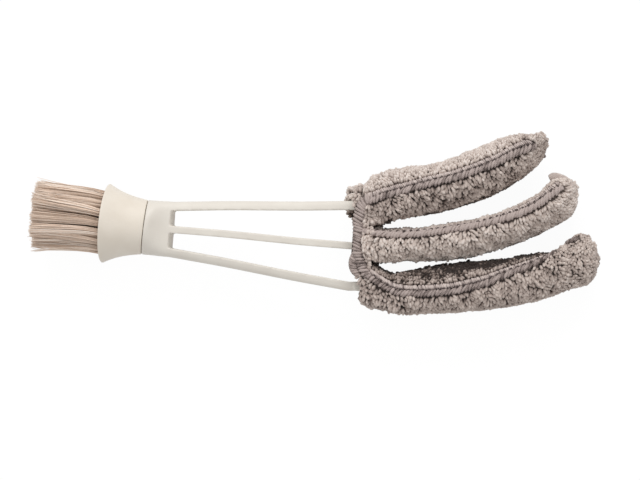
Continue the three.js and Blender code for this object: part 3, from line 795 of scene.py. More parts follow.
def tuft_centres(ring):
    turn = angles(max(1, 6 * ring), ring / 2)
    return ring * TUFT_PITCH * np.stack([np.cos(turn), np.sin(turn)], -1)


def tuft_leans(centres, random):
    """How far each tuft's tip leans aside: any way, but hardly outwards."""
    lean = clipped_normal(random, 0, TUFT_LEAN, (len(centres), 2), -TUFT_LEAN_MOST, TUFT_LEAN_MOST)
    outward = unit(centres + 1e-6)
    excess = np.maximum((lean * outward).sum(-1, keepdims=True) + 0.5, 0)
    return lean - outward * excess


def filaments(centres, per_tuft, random):
    """Paths of the filaments of some tufts, which spread from their holes and merge at the tips."""
    def grown(power):
        return (FILAMENT_SHARES ** power)[None, :, None]

    centre = np.repeat(centres, per_tuft, axis=0)
    total = len(centre)
    angle = random.uniform(0, 2 * np.pi, total)
    reach = np.sqrt(random.uniform(0, 1, total))
    local = np.stack([np.cos(angle), np.sin(angle)], -1) * reach[:, None]
    lean = np.repeat(tuft_leans(centres, random), per_tuft, axis=0)
    stray = (random.uniform(0, 1, total) < STRAY_SHARE)[:, None, None]
    sway = random.normal(0, FILAMENT_SWAY, (total, 2))[:, None] * grown(1.5)
    turns, phase = random.uniform(2, 6, (total, 1)), random.uniform(0, 6, (total, 1))
    curl = np.sin(FILAMENT_SHARES * turns + phase)[..., None]
    curl = curl * random.normal(0, FILAMENT_CURL, (total, 1, 2)) * grown(0.7)
    spread = blend_between(TUFT_ROOT_RADIUS, TUFT_TIP_RADIUS, grown(0.8))
    flat = centre[:, None] + local[:, None] * spread
    flat = flat + sway + curl + lean[:, None] * grown(1.3)
    flat = flat + unit(centre + 1e-6)[:, None] * stray * (STRAY_REACH * grown(2))
    flat[..., 0] += BRISTLE_RISE * smooth(FILAMENT_SHARES, 0, FILAMENT_ROOT_SHARE)
    end = BRISTLE_TIP_X + BRISTLE_END_GAP + np.abs(random.normal(0, FILAMENT_SCATTER, total))
    x = blend_between(BLOCK_FACE_X - BRISTLE_END_GAP, end[:, None], FILAMENT_SHARES)
    flat[..., 0] -= BRUSH_RISE_SHARE * x
    return np.concatenate([x[..., None], flat], -1)


def make_bristles(name, rings, per_tuft, seed):
    random = np.random.default_rng(seed)
    centres = np.concatenate([tuft_centres(ring) for ring in rings])
    paths = filaments(centres, per_tuft, random)
    total, steps = paths.shape[:2]
    radii = np.full((total, steps), FILAMENT_RADIUS)
    radii[:, -1] *= 0.6
    points, faces = tufts(paths, radii, FILAMENT_SIDES, np.tile(UP, (total, 1)))
    own = clipped_normal(random, FILAMENT_TONE, FILAMENT_TONE_SPREAD, total, 0.15, 1.05)
    locks = 0.12 * waves(paths[:, -1, 1:], 5.0, seed)
    across = paths[:, -1, 1]
    # painted light on the brush's upper side and, less, on its lower side, and painted shade across its
    # middle
    painted_light = 0.14 * smooth(across, *PAINTED_LIGHT_SIDES) + 0.1 * smooth(-across, *PAINTED_LIGHT_SIDES) - 0.07
    # painted shade: each filament darkens towards its root, down among the others at the collar
    out = blend_between(0.5, 1.0, smooth(np.linspace(0, 1, steps), 0, FILAMENT_ROOT_SHARE))
    tone = tuft_points((own + locks + painted_light)[:, None] * out, FILAMENT_SIDES)
    piece = mesh_piece(f"filaments_{name}", points, faces, FILAMENT, tone)
    attach(piece, "brush_head", f"bristles_{name}")


# Handle

def mouth_shift(y):
    """How far the cover's mouth runs back from its lower corner."""
    return MOUTH_RUN_BACK * smooth(-np.asarray(y, float), *LOWER_CORNER)


def rod_centre(x):
    share = (np.asarray(x, float) - HUB_LENGTH) / (PIVOT_X - HUB_LENGTH)
    return blend_between(ROD_ROOT_SPREAD, PIVOT_SPREAD, share)


def frame_half_width(x):
    outer = rod_centre(np.maximum(x, HUB_LENGTH)) + OUTER_ROD_WIDTH / 2
    return blend_between(NECK_RADIUS, outer, smooth(x, 0, HUB_LENGTH))


def frame_half_depth(x):
    along = np.clip((np.asarray(x, float) - HUB_LENGTH) / (CROSSBAR_END - HUB_LENGTH), 0, 1)
    rods = blend_between(HUB_HALF_DEPTH, ROD_END_HALF_DEPTH, along)
    hub = blend_between(NECK_RADIUS, HUB_HALF_DEPTH, smooth(x, 0, HUB_LENGTH))
    return np.where(np.asarray(x) < HUB_LENGTH, hub, rods)


def ring_at(x, y, z):
    """A ring of points in a plane square to the tool."""
    return np.stack([np.full(len(y), x), y, z], -1)


def hub_rings():
    angle = angles(HUB_POINTS)
    for x in np.linspace(SEAT_GAP / 2, HUB_LENGTH, 30):
        power = blend_between(2, 4, smooth(x, 0, HUB_LENGTH))
        y = frame_half_width(x) * bend(np.cos(angle), power)
        yield ring_at(x, y, frame_half_depth(x) * bend(np.sin(angle), power))


def rod_rings(side):
    """Rings of a rod: the frame's envelope on its outer side, flat walls towards the openings."""
    for x in np.linspace(HUB_LENGTH - ROD_OVERLAP, CROSSBAR_END, 60):
        half = frame_half_width(x)
        if side:
            low = rod_centre(max(x, HUB_LENGTH)) - OUTER_ROD_WIDTH / 2
            y = blend_between(low, half, np.sin(np.linspace(0, np.pi / 2, ROD_POINTS)))
        else:
            y = np.linspace(-MIDDLE_ROD_WIDTH / 2, MIDDLE_ROD_WIDTH / 2, ROD_POINTS)
        z = frame_half_depth(x) * np.clip(1 - np.abs(y / half) ** 4, 0, 1) ** 0.25
        z = np.maximum(z, ROD_EDGE_HALF_DEPTH)
        y, z = np.concatenate([y, y[::-1]]), np.concatenate([-z, z[::-1]])
        y = y * (side or 1) - ROD_BOW * smooth(x, *ROD_BOW_START) * (1 - smooth(x, *ROD_BOW_END))
        ring = ring_at(x, y, z)
        yield ring if side >= 0 else ring[::-1]


def bar_rings():
    """Sections of the crossbar, which keeps inside the cuff where the mouth runs back."""
    half = CUFF_HALF_HEIGHT - CROSSBAR_INSET
    for y in np.linspace(-half, half, 40):
        x = mouth_shift(y) + np.array([MOUTH_X, CROSSBAR_END, CROSSBAR_END, MOUTH_X])
        z = ROD_END_HALF_DEPTH * np.array([-1, -1, 1, 1])
        yield np.stack([x, np.full(4, y), z], -1)


def stub_rings(pivot_y):
    """Rings of a rod's end beyond the crossbar, which widens for its cup."""
    start = CROSSBAR_END - CROSSBAR_THICKNESS / 2
    stop = PIVOT_X - CUP_SETBACK
    width = OUTER_ROD_WIDTH if pivot_y else MIDDLE_ROD_WIDTH
    angle = angles(24)
    for x, wide in ((start, width), (stop - CUP_WIDTH / 2, width), (stop, CUP_WIDTH)):
        y = np.sign(pivot_y) * rod_centre(x) + wide / 2 * bend(np.cos(angle), 4)
        yield ring_at(x, y, ROD_END_HALF_DEPTH * bend(np.sin(angle), 4))


def cylinder_z(radius, half_height, x, y):
    angle = angles(48)
    ring = np.stack([x + radius * np.cos(angle), y + radius * np.sin(angle), 0 * angle], -1)
    return loft([ring - UP * half_height, ring + UP * half_height])


def voxel_remesh(piece):
    remesh = piece.modifiers.new("even", "REMESH")
    remesh.mode = "VOXEL"
    remesh.voxel_size = MOULDING_VOXEL * MM


def cut_out(piece, cutter):
    cut = piece.modifiers.new("cut", "BOOLEAN")
    cut.operation = "DIFFERENCE"
    cut.solver = "EXACT"
    cut.object = cutter


def make_handle():
    """One moulding: hub, rods, crossbar and cups, fused and softened at every edge."""
    pivots = [spec["pivot_y"] for spec in FINGERS.values()]
    rods = [rod_rings(side) for side in (1, 0, -1)]
    solids = [hub_rings(), *rods, bar_rings(), *[stub_rings(pivot_y) for pivot_y in pivots]]
    skins = merge([loft(list(rings)) for rings in solids])
    body = mesh_piece("handle_moulding", *skins, HUB_PLASTIC)
    voxel_remesh(body)
    apply_modifiers(body)
    ends = [[SOCKET_AXIS, SOCKET_START], [STEM_RADIUS, SOCKET_START]]
    ends += [[STEM_RADIUS, SOCKET_END], [SOCKET_AXIS, SOCKET_END]]
    cups = [cylinder_z(KNUCKLE_CUP_RADIUS, NECK_RADIUS, PIVOT_X, pivot_y) for pivot_y in pivots]
    cutter = mesh_piece("cutter", *merge([turned_x(ends, 64), *cups]), HUB_PLASTIC)
    cut_out(body, cutter)
    voxel_remesh(body)
    soften = body.modifiers.new("soften", "SMOOTH")
    soften.factor = 0.5
    soften.iterations = 7
    apply_modifiers(body)
    bpy.data.objects.remove(cutter, do_unlink=True)
    points = read_points(body.data)
    points[:, 0] += seam_lean(points)
    write_points(body.data, points)
    body.data.shade_smooth()
    attach(body, "handle", "handle_frame")


# Fingers

def along_finger(values, share):
    root, middle, tip = values
    level = blend_between(root, middle, smooth(share, 0, ROOT_SHARE))
    return blend_between(level, tip, smooth(share, *TIP_SHARES))


def rail_of(spec):
    """Distance, place and heading along a finger's middle line, from the mouth to the tip."""
    root = np.array([PIVOT_X, spec["pivot_y"] + spec["root_rise"]])
    tip = root + (spec["reach"], spec["rise"])
    first, last = np.radians(spec["headings"])
    handle = RAIL_HANDLE_SHARE * np.linalg.norm(tip - root)
    controls = np.array([
        root,
        root + handle * np.array([math.cos(first), math.sin(first)]),
        tip - handle * np.array([math.cos(last), math.sin(last)]),
        tip,
    ])
    t = np.linspace(0, 1, 500)[:, None]
    weights = np.hstack([(1 - t) ** 3, 3 * (1 - t) ** 2 * t, 3 * (1 - t) * t ** 2, t ** 3])
    places = weights @ controls
    direction = np.gradient(places, axis=0)
    heading = np.arctan2(direction[:, 1], direction[:, 0])
    back = np.arange(0, PIVOT_X - MOUTH_X, RAIL_STEP)
    back_heading = first * (1 - smooth(back, 0, ROOT_TURN_LENGTH))
    back_steps = -RAIL_STEP * np.stack([np.cos(back_heading), np.sin(back_heading)], -1)
    back_places = root + np.cumsum(back_steps, axis=0)
    distance = np.concatenate([-(back[::-1] + RAIL_STEP), run_length(places)])
    places = np.concatenate([back_places[::-1], places])
    return distance, places, np.concatenate([back_heading[::-1], heading])


def section_half(reach, deep, twist, power):
    """Half thickness of a twisted superelliptic section that reaches so far across the finger."""
    pair = power / (power - 1)
    from_depth = (deep * np.sin(twist)) ** pair
    left = np.maximum(reach, LEAST_REACH) ** pair - from_depth
    return np.maximum(left, LEAST_HALF) ** (1 / pair) / np.cos(twist)


class Sleeve:
    """A finger's fabric surface as a grid: rows along its middle line, columns from the front
    round by the upper side, even by arc length."""

    columns = 96

    def __init__(self, name, spec):
        self.name = name
        self.spec = spec
        distance, places, heading = rail_of(spec)
        self.length = spec["edges"][-1][0] - TIP_INSET
        straight = np.arange(spec["start"], self.length - TIP_ROUNDING, ROW_STEP)
        turn = np.linspace(0, np.pi / 2 - 0.004, 26)
        self.rows = np.concatenate([straight, self.length - TIP_ROUNDING * (1 - np.sin(turn))])
        self.place = points_at(self.rows, distance, places)
        self.heading = np.interp(self.rows, distance, heading)
        self.build()

    def sections(self):
        """Each row's half thickness, half depth, power, twist and middle."""
        share = np.clip(self.rows / self.length, 0, 1)
        into = np.maximum(0, self.rows - (self.length - TIP_ROUNDING)) / TIP_ROUNDING
        scale = np.clip(1 - into ** TIP_POWER, 0, 1) ** (1 / TIP_POWER)
        behind = np.clip(-self.rows / (PIVOT_X - MOUTH_X), 0, 1)
        deep = blend_between(SLEEVE_HALF_DEPTH, MOUTH_HALF_DEPTH, behind ** 1.5)
        deep = (deep - BACKING_INSET) * scale
        power = along_finger(SECTION_POWERS, share)
        twist = np.radians(along_finger(self.spec["twist"], share))
        ahead = self.rows + TIP_INSET * smooth(self.rows, self.length - 16, self.length - 4)
        places, above, below = np.array(self.spec["edges"]).T
        above, below = np.interp(ahead, places, above), np.interp(ahead, places, below)
        half = section_half((above + below) / 2 - BACKING_INSET, deep, twist, power)
        return zip(half, deep, power, twist, (above - below) / 2)

    def build(self):
        """The grid, each row's perimeter, and the turns of its front seam and its underside."""
        shift = np.interp(self.rows, *np.array(self.spec["tape"]).T)
        quarter = self.columns // 4
        facing = np.arange(-quarter, quarter + 1)
        grid, perimeter, front, under = [], [], [], []
        for row, (half, deep, power, twist, middle) in enumerate(self.sections()):
            thick, high, length = even_section(half, deep, power, self.columns)
            cos, sin = math.cos(twist), math.sin(twist)
            side = thick * cos + high * sin + middle
            across = np.array([-math.sin(self.heading[row]), math.cos(self.heading[row])])
            flat = self.place[row] + side[:, None] * across
            grid.append(np.column_stack([flat, high * cos - thick * sin]))
            perimeter.append(length)
            rising = np.maximum.accumulate(side[facing] + facing * 1e-6)
            front.append(np.interp(shift[row], rising, facing) / self.columns)
            under.append(np.argmin(side) / self.columns)
        self.grid, self.perimeter = np.array(grid), np.array(perimeter)
        self.front, self.under = np.array(front), np.array(under)

    def derive(self):
        along = np.gradient(self.grid, axis=0)
        around = (np.roll(self.grid, -1, 1) - np.roll(self.grid, 1, 1)) / 2
        self.around = unit(around)
        self.normal = unit(np.cross(along, self.around))

    def look_up(self, table, row, turn):
        """Bilinear value of a grid at fractional rows and turns (0 to 1 round the section)."""
        row = np.clip(row, 0, len(self.rows) - 1.001)
        col = (turn % 1) * self.columns
        r0, c0 = row.astype(int), col.astype(int) % self.columns
        fr, fc = (row - r0)[:, None], (col - np.floor(col))[:, None]
        c1 = (c0 + 1) % self.columns
        near = table[r0, c0] * (1 - fc) + table[r0, c1] * fc
        far = table[r0 + 1, c0] * (1 - fc) + table[r0 + 1, c1] * fc
        return near * (1 - fr) + far * fr

    def surface(self, row, turn):
        """Points of the fabric, with the directions across a seam and out."""
        around = unit(self.look_up(self.around, row, turn))
        return self.look_up(self.grid, row, turn), around, unit(self.look_up(self.normal, row, turn))

    def row_at(self, distance):
        return np.interp(distance, self.rows, np.arange(len(self.rows)))


def run_cloth(cloth, held):
    """Where a cloth's points end up when air fills it and some of them are held."""
    seams = cloth.vertex_groups.new(name="seams")
    seams.add(np.flatnonzero(held).tolist(), 1.0, "REPLACE")
    settings = cloth.modifiers.new("puff", "CLOTH").settings
    settings.vertex_group_mass = "seams"
    settings.use_pressure = True
    settings.uniform_pressure_force = CLOTH_PRESSURE
    settings.effector_weights.gravity = 0
    settings.bending_stiffness = CLOTH_BENDING
    scene = bpy.context.scene
    for step in range(1, CLOTH_FRAMES + 1):
        scene.frame_set(step)
    points = read_points(cloth.evaluated_get(bpy.context.evaluated_depsgraph_get()).data)
    scene.frame_set(1)
    bpy.data.objects.remove(cloth, do_unlink=True)
    return points


def settle(sleeve):
    """Cloth simulation of a sleeve: air rounds its fabric out between the seams, which are held."""
    rows = np.linspace(0, len(sleeve.rows) - 1, CLOTH_ROWS).round().astype(int)
    columns = np.arange(0, sleeve.columns, CLOTH_COLUMN_STEP)
    start = sleeve.grid[rows][:, columns]
    faces = ring_faces(CLOTH_ROWS, len(columns))[:, ::-1]
    cloth = mesh_piece("cloth", start.reshape(-1, 3), [faces], BACKING)
    held = np.zeros(start.shape[:2], bool)
    for seam in (sleeve.front[rows] % 1, np.full(CLOTH_ROWS, 0.5)):
        away = short_way(columns[None] / sleeve.columns - seam[:, None])
        held |= np.abs(away) < 0.55 / len(columns)
    held[[0, 1, -2, -1]] = True
    move = run_cloth(cloth, held).reshape(start.shape) - start
    size = np.linalg.norm(move, axis=-1, keepdims=True)
    move = move * np.minimum(1, CLOTH_CAP / np.maximum(size, 1e-6))
    move = np.concatenate([move, move[:, :1]], axis=1)
    tall = points_at(np.arange(len(sleeve.rows)), rows, move.reshape(CLOTH_ROWS, -1))
    tall = tall.reshape(len(sleeve.rows), -1, 3)
    share = np.arange(sleeve.columns) / CLOTH_COLUMN_STEP
    low = share.astype(int)
    sleeve.grid = sleeve.grid + blend_between(tall[:, low], tall[:, low + 1], (share - low)[:, None])


def make_backing(sleeve):
    """Two half shells of knit backing, sewn together under the tapes."""
    inner = sleeve.grid - sleeve.normal * BACKING_THICKNESS
    halfway = sleeve.columns // 2
    for side, first in (("top", 0), ("bottom", halfway)):
        columns = np.arange(first, first + halfway + 1) % sleeve.columns
        points, faces = shell(inner[:, columns], sleeve.grid[:, columns])
        piece = mesh_piece(f"{sleeve.name}_{side}_backing", points, faces, BACKING)
        sew_on(piece, f"{sleeve.name}_{side}_panel")


def pile_places(sleeve, pitch, random):
    """Staggered, jittered roots of the pile: fractional rows and turns round the section."""
    rows, turns = [], []
    steps = np.linalg.norm(np.diff(sleeve.grid, axis=0), axis=-1).max(axis=1)
    run = np.concatenate([[0], np.cumsum(steps)])
    for index, place in enumerate(np.arange(1.0, run[-1], pitch)):
        row = np.interp(place, run, np.arange(len(run)))
        count = max(3, int(at_row(sleeve.perimeter, row) / pitch))
        stagger = 0.5 * (index % 2)
        turns.append((np.arange(count) + stagger + random.uniform(*ROOT_JITTER, count)) / count)
        rows.append(row + random.uniform(*ROOT_JITTER, count) * pitch / ROW_STEP)
    return np.concatenate(rows), np.concatenate(turns) % 1


def curl_paths(root, normal, lean, length, most):
    """Centre lines of tufts that rise from their roots and roll over towards lean by most radians."""
    angle = most[:, None] * TUFT_ROLL
    radius = (length / most)[:, None]
    rise = radius * np.sin(angle) - PILE_SINK
    reach = radius * (1 - np.cos(angle))
    return root[:, None] + normal[:, None] * rise[..., None] + lean[:, None] * reach[..., None]


def pile_piece(name, paths, radii, across, tone):
    points, faces = tufts(paths, radii[:, None] * TUFT_GIRTHS, TUFT_SIDES, across)
    # painted shade at the roots, painted light on the tips and their caps
    painted_levels = tuft_points(tone[:, None] + TUFT_PAINTED_SHADING, TUFT_SIDES, at_tip=0.05)
    return mesh_piece(name, points, faces, PILE, painted_levels)


def pile_kind(from_front, from_under):
    kind = np.full(len(from_front), "coarse")
    kind[(from_front > 0) & (from_front < FINE_PILE_SHARE)] = "fine"
    kind[np.abs(from_under) < SHORT_PILE_SHARE] = "short"
    return kind


def off_band(points):
    """Whether points of the front lie clear of the band, and not to the left of its middle."""
    route = curve_through(FRONT_BAND_ROUTE, BAND_POINTS)
    away = np.linalg.norm(points[:, None, :2] - route[None], axis=-1)
    line = np.interp(points[:, 1], route[::-1, 1], route[::-1, 0])
    left = (points[:, 0] < line) & (points[:, 1] > BAND_FOOT) & (points[:, 1] < BAND_HEAD)
    return (away.min(1) > BAND_HALF_WIDTH - 0.3) & ~left


def make_pile(sleeve):
    for number, (kind, form) in enumerate(PILE_KINDS.items()):
        random = np.random.default_rng(sleeve.spec["seed"] + 100 * number)
        row, turn = pile_places(sleeve, form["pitch"], random)
        around = at_row(sleeve.perimeter, row)
        distance = at_row(sleeve.rows, row)
        from_front = short_way(turn - at_row(sleeve.front, row))
        from_under = short_way(turn - at_row(sleeve.under, row))
        near_tip = distance > sleeve.length - TIP_PILE_LENGTH
        root = sleeve.look_up(sleeve.grid, row, turn)
        edge = TAPE_WIDTH / 2 + random.uniform(*EDGE_JITTER, len(row))
        off_front = from_front * around
        clear_front = (off_front < -edge) | (off_front > edge + EDGE_ROW_WIDTH)
        clear_back = np.abs(turn - 0.5) * around > edge
        chosen = (pile_kind(from_front, from_under) == kind) & ((clear_front & clear_back) | near_tip)
        chosen &= (root[:, 2] < 4) | off_band(root)
        places = [table[chosen] for table in (row, turn, distance, from_front, from_under)]
        grow_pile(sleeve, kind, random, *places)


def pile_leans(around, normal, from_front, swirl):
    """The pile leans away from the front tape and a little ahead, turned by a swirl in degrees."""
    ahead = np.cross(around, normal)
    away = np.sign(from_front) * np.cos(np.abs(from_front) * 2 * np.pi * LEAN_TURN_SHARE)
    swirl = np.radians(swirl)
    lean = around * (away * np.cos(swirl))[:, None] + ahead * (LEAN_AHEAD + np.sin(swirl))[:, None]
    return square_to(lean, normal)


def pile_tones(spec, kind, from_front, distance, tip, own):
    """Tones of a finger's zones, with painted shade along the lower edge and the lower finger's painted
    shade above its tape.
    """
    above, below, at_tip, underside_shade = spec["tones"]
    # painted shade: the short pile along the lower edge takes the darker underside tone
    body = underside_shade if kind == "short" else np.where(from_front > 0, above, below)
    # painted shade above the lower finger's front tape, where the middle finger shadows it
    zone = smooth(from_front, *PAINTED_SHADE_ZONE) * (from_front < PAINTED_SHADE_END) * (1 - tip)
    shade = spec["shade"] * zone * blend_between(0.5, 1.0, smooth(distance, *PAINTED_SHADE_ROOT))
    return blend_between(body, at_tip, tip) + own - shade


def grow_pile(sleeve, kind, random, row, turn, distance, from_front, from_under):
    """Short curved tufts in clumps, with partings between them, leaning every way."""
    total, form, seed = len(row), PILE_KINDS[kind], sleeve.spec["seed"]
    root, around, normal = sleeve.surface(row, turn)
    swirl = SWIRL * waves(root, SWIRL_WIDTH, seed) + random.normal(0, SWIRL_SCATTER, total)
    lean = pile_leans(around, normal, from_front, swirl)
    clump = waves(root, CLUMP_WIDTH, seed + 50)
    tip = smooth(distance, sleeve.length - TIP_TONE_START, sleeve.length - TIP_TONE_END)
    length = form["length"] * (1 + 0.15 * clump + random.normal(0, 0.1, total)) * (1 - 0.2 * tip)
    if kind != "short":
        low = 1 - smooth(np.abs(from_under), SHORT_PILE_SHARE, SHORT_PILE_SHARE + 0.07)
        length = length * blend_between(1 - 0.35 * low, 1, tip)
    most = form["bend"] - 10 * clump + random.normal(0, BEND_SCATTER, total)
    most = np.radians(np.clip(most, 40, 135))
    radius = form["radius"] * np.clip(1 + 0.08 * clump + random.normal(0, 0.12, total), 0.7, 1.3)
    own = random.normal(0, TONE_SCATTER, total) + 0.1 * clump
    tone = pile_tones(sleeve.spec, kind, from_front, distance, tip, own)
    paths = curl_paths(root, normal, lean, length, most)
    across = np.cross(normal, lean)
    for half, chosen in {"top": turn < 0.5, "bottom": turn >= 0.5}.items():
        if chosen.any():
            name = f"{sleeve.name}_{half}_{kind}_pile"
            tables = [table[chosen] for table in (paths, radius, across, tone)]
            sew_on(pile_piece(name, *tables))


def line_base(centre, up):
    """A line with its directions across, out (the part of up that is square to it) and along."""
    along = unit(np.gradient(centre, axis=0))
    normal = square_to(up, along)
    return centre, np.cross(normal, along), normal, along


def strip(base, half_width, low, high, crown):
    """Points and faces of a soft strip with a crowned top between two edges."""
    centre, across, normal = (table[:, None] for table in base[:3])
    top = high[:, None] + crown * (1 - STRIP_PLACES ** 2) ** 0.6 - crown
    over = centre + across * (half_width[:, None] * STRIP_PLACES)[..., None] + normal * top[..., None]
    under = centre + across * (half_width[:, None] * STRIP_UNDER_PLACES)[..., None] + normal * low
    return loft(np.concatenate([over, under], axis=1)[:, ::-1])


def ribs(base, half_width, height, pitch, radius, slant, random):
    """Thread wound over a strip: slanted ribs side by side, sunk at both edges."""
    run = run_length(base[0])
    places = np.arange(pitch / 2, run[-1] - pitch / 2, pitch)
    places = places + random.normal(0, RIB_SCATTER * pitch, len(places))
    row = np.interp(places, run, np.arange(len(run)))
    centre, across, normal, along = (at_row(table, row)[:, None] for table in base)
    half, tall = at_row(half_width, row)[:, None], at_row(height, row)[:, None]
    slants = slant * (1 + random.normal(0, RIB_WANDER, (len(row), 1)))
    path = centre + across * (half * RIB_PLACES)[..., None] + along * (slants * RIB_PLACES)[..., None]
    path = path + normal * (tall + RIB_RISES)[..., None]
    thick = radius * (1 + random.normal(0, RIB_SCATTER, (len(row), 1)))
    points, faces = tufts(path, thick * RIB_GIRTHS, RIB_SIDES, along[:, 0])
    return points, faces, rib_tones(points, path, normal, random)


def rib_tones(points, path, up, random):
    """Painted light on the ribs' crests and painted shade in the hollows between them, and a random tone
    of its own for each rib.
    """
    total = len(path)
    each = points.reshape(total, -1, 3)
    height = ((each - tuft_points(path, RIB_SIDES)) * up).sum(-1) / RIB_RADIUS
    own = random.normal(0, 0.15, (total, 1)) + 0.08 * np.sin(np.arange(total) * 0.7)[:, None]
    patches = 0.09 * waves(points, 2.6, 5).reshape(total, -1)
    # painted light and shade by height over each rib's path; own and patches are the thread's own tones
    return (own + patches + 0.5 * np.clip(height, -0.75, 1) - 0.3).ravel()


def tape_base(sleeve, row, turn):
    """Centre line of a tape on the fabric, with its directions across, out and along."""
    centre, across, normal = sleeve.surface(row, turn)
    return centre, across, normal, unit(np.gradient(centre, axis=0))


def beside_tape(sleeve, row, aside):
    """A tape's base so far from the front tape's middle, on its upper side."""
    turn = at_row(sleeve.front, row) + (TAPE_WIDTH / 2 + aside) / at_row(sleeve.perimeter, row)
    return tape_base(sleeve, row, turn)


def make_tapes(sleeve):
    """A ribbed binding over each seam, and beside the front one a paler row of small loops."""
    random = np.random.default_rng(sleeve.spec["seed"] + 70)
    distance = np.arange(sleeve.spec["start"] + 3, sleeve.length - 5, ROW_STEP)
    row = sleeve.row_at(distance)
    pinch = np.cos(distance * 2 * np.pi / SEAM_PITCH)
    high = BACKING_INSET + 0.1 * pinch
    half = TAPE_HALF + 0.12 * pinch
    tone = sleeve.spec["tape_tone"]
    for face, turn in (("front", at_row(sleeve.front, row)), ("back", np.full(len(row), 0.5))):
        base = tape_base(sleeve, row, turn)
        name = f"{sleeve.name}_{face}"
        points, faces = strip(base, half, 0.1, high, TAPE_CROWN)
        binding = mesh_piece(f"{name}_binding", points, faces, TAPE, tone - 0.12)
        sew_on(binding, f"{sleeve.name}_tape_{face}")
        points, faces, tones = ribs(base, half, high, *TAPE_FORM, random)
        sew_on(mesh_piece(f"{name}_ribs", points, faces, TAPE, tones + tone))
    make_edge_row(sleeve, row, pinch, random)
    make_stitches(sleeve, random)


def make_edge_row(sleeve, row, pinch, random):
    """The paler row of small loops beside the front tape."""
    base = beside_tape(sleeve, row, EDGE_ROW_WIDTH / 2 - 0.1)
    half = EDGE_ROW_WIDTH / 2 - 0.35 - 0.1 * pinch
    high = np.full(len(row), EDGE_ROW_HEIGHT)
    points, faces, tones = ribs(base, half, high, *EDGE_ROW_FORM, random)
    thread = mesh_piece(f"{sleeve.name}_front_edge_row", points, faces, STITCH, tones + 0.1)
    sew_on(thread)


def make_stitches(sleeve, random):
    """Short dark stitches along the front tape's upper edge."""
    row = sleeve.row_at(np.arange(sleeve.spec["start"] + 8, sleeve.length - 8, SEAM_PITCH))
    centre, across, normal, along = (table[:, None] for table in beside_tape(sleeve, row, 0.15))
    length = random.uniform(0.6, 1.0, (len(row), 1))
    path = centre + along * (length * STITCH_PLACES)[..., None]
    path = path + across * (0.3 * STITCH_PLACES)[None, :, None]
    path = path + normal * (BACKING_INSET - 0.1 - 0.5 * STITCH_PLACES ** 2)[None, :, None]
    radii = np.tile(STITCH_RADII, (len(row), 1))
    points, faces = tufts(path, radii, TUFT_SIDES, across[:, 0])
    thread = mesh_piece(f"{sleeve.name}_front_stitches", points, faces, DARK_THREAD)
    sew_on(thread)


def make_tip_fold():
    """The plain folded end of the middle finger's fabric, which sticks out at its tip."""
    centre = curve_through(FOLD_ROUTE, FOLD_POINTS)
    along = unit(np.gradient(centre, axis=0))
    normal = unit(np.cross(along, [0.25, -0.97, 0.0]))
    normal = normal * np.sign(normal[:, 2:])
    run = np.linspace(0, 1, FOLD_POINTS)
    half = 2.2 - 0.5 * np.abs(2 * run - 1) ** 4
    high = FOLD_HEIGHT + 0.2 * np.sin(run * 9)
    base = (centre, np.cross(normal, along), normal)
    points, faces = strip(base, half, -0.6, high, FOLD_CROWN)
    attach(mesh_piece("middle_tip_fold", points, faces, FOLD), "middle_finger")


# Cover's mouth

def mouth_edge(y, z):
    """Where the mouth's edge lies: back from the lower corner, and out behind the upper rod."""
    corner = smooth(y, *UPPER_CORNER) * smooth(-np.asarray(z), *BEHIND)
    return MOUTH_X + mouth_shift(y) - CORNER_REACH * corner


def cuff_grid():
    """The cuff's outer surface: rows from the mouth inwards, columns round from the front."""
    outer = np.array([CUFF_HALF_HEIGHT, CUFF_HALF_DEPTH])
    grid = []
    for into in np.linspace(0, 1, 12):
        half = blend_between(outer - CUFF_MOUTH_INSET, outer - CUFF_END_INSET, into ** CUFF_FLARE)
        y, z = even_section(*half, CUFF_POWER, CUFF_COLUMNS)[:2]
        x = blend_between(mouth_edge(y, z), MOUTH_X + CUFF_LENGTH, into)
        grid.append(np.column_stack([x, y, z]))
    return np.array(grid)


def make_cuff():
    outer = cuff_grid()
    outward = unit(outer * [0, 0.35, 1])
    closed = np.concatenate([outer - outward * CUFF_THICKNESS, outer[::-1]])
    faces = [ring_faces(len(closed), CUFF_COLUMNS, closed_rows=True)]
    piece = mesh_piece("cuff_backing", closed.reshape(-1, 3), faces, BACKING)
    attach(piece, "handle", "mouth_cuff")
    make_cuff_pile(outer, outward)


def cuff_roots(outer, outward, random):
    """Rows, roots and normals of the cuff's pile, and which of it lines the upper corner."""
    rows, cols = outer.shape[:2]
    row, col = np.meshgrid(np.arange(0, rows, 2), np.arange(0, cols), indexing="ij")
    row, col = row.ravel(), col.ravel()
    flap = (row < FLAP_ROWS) & (outer[row, col, 1] > 8) & (outer[row, col, 2] < -2)
    inside = np.concatenate([np.zeros(len(row), bool), np.ones(flap.sum(), bool)])
    row, col = np.concatenate([row, row[flap]]), np.concatenate([col, col[flap]])
    normal = np.where(inside[:, None], -outward[row, col], outward[row, col])
    root = outer[row, col] + random.normal(0, 0.3, (len(row), 3)) * [1, 1, 0.3]
    root = root + normal * (CUFF_THICKNESS * inside)[:, None]
    keep = (root[:, 2] < 3) | off_band(root)
    return [table[keep] for table in (row, root, normal, inside)]


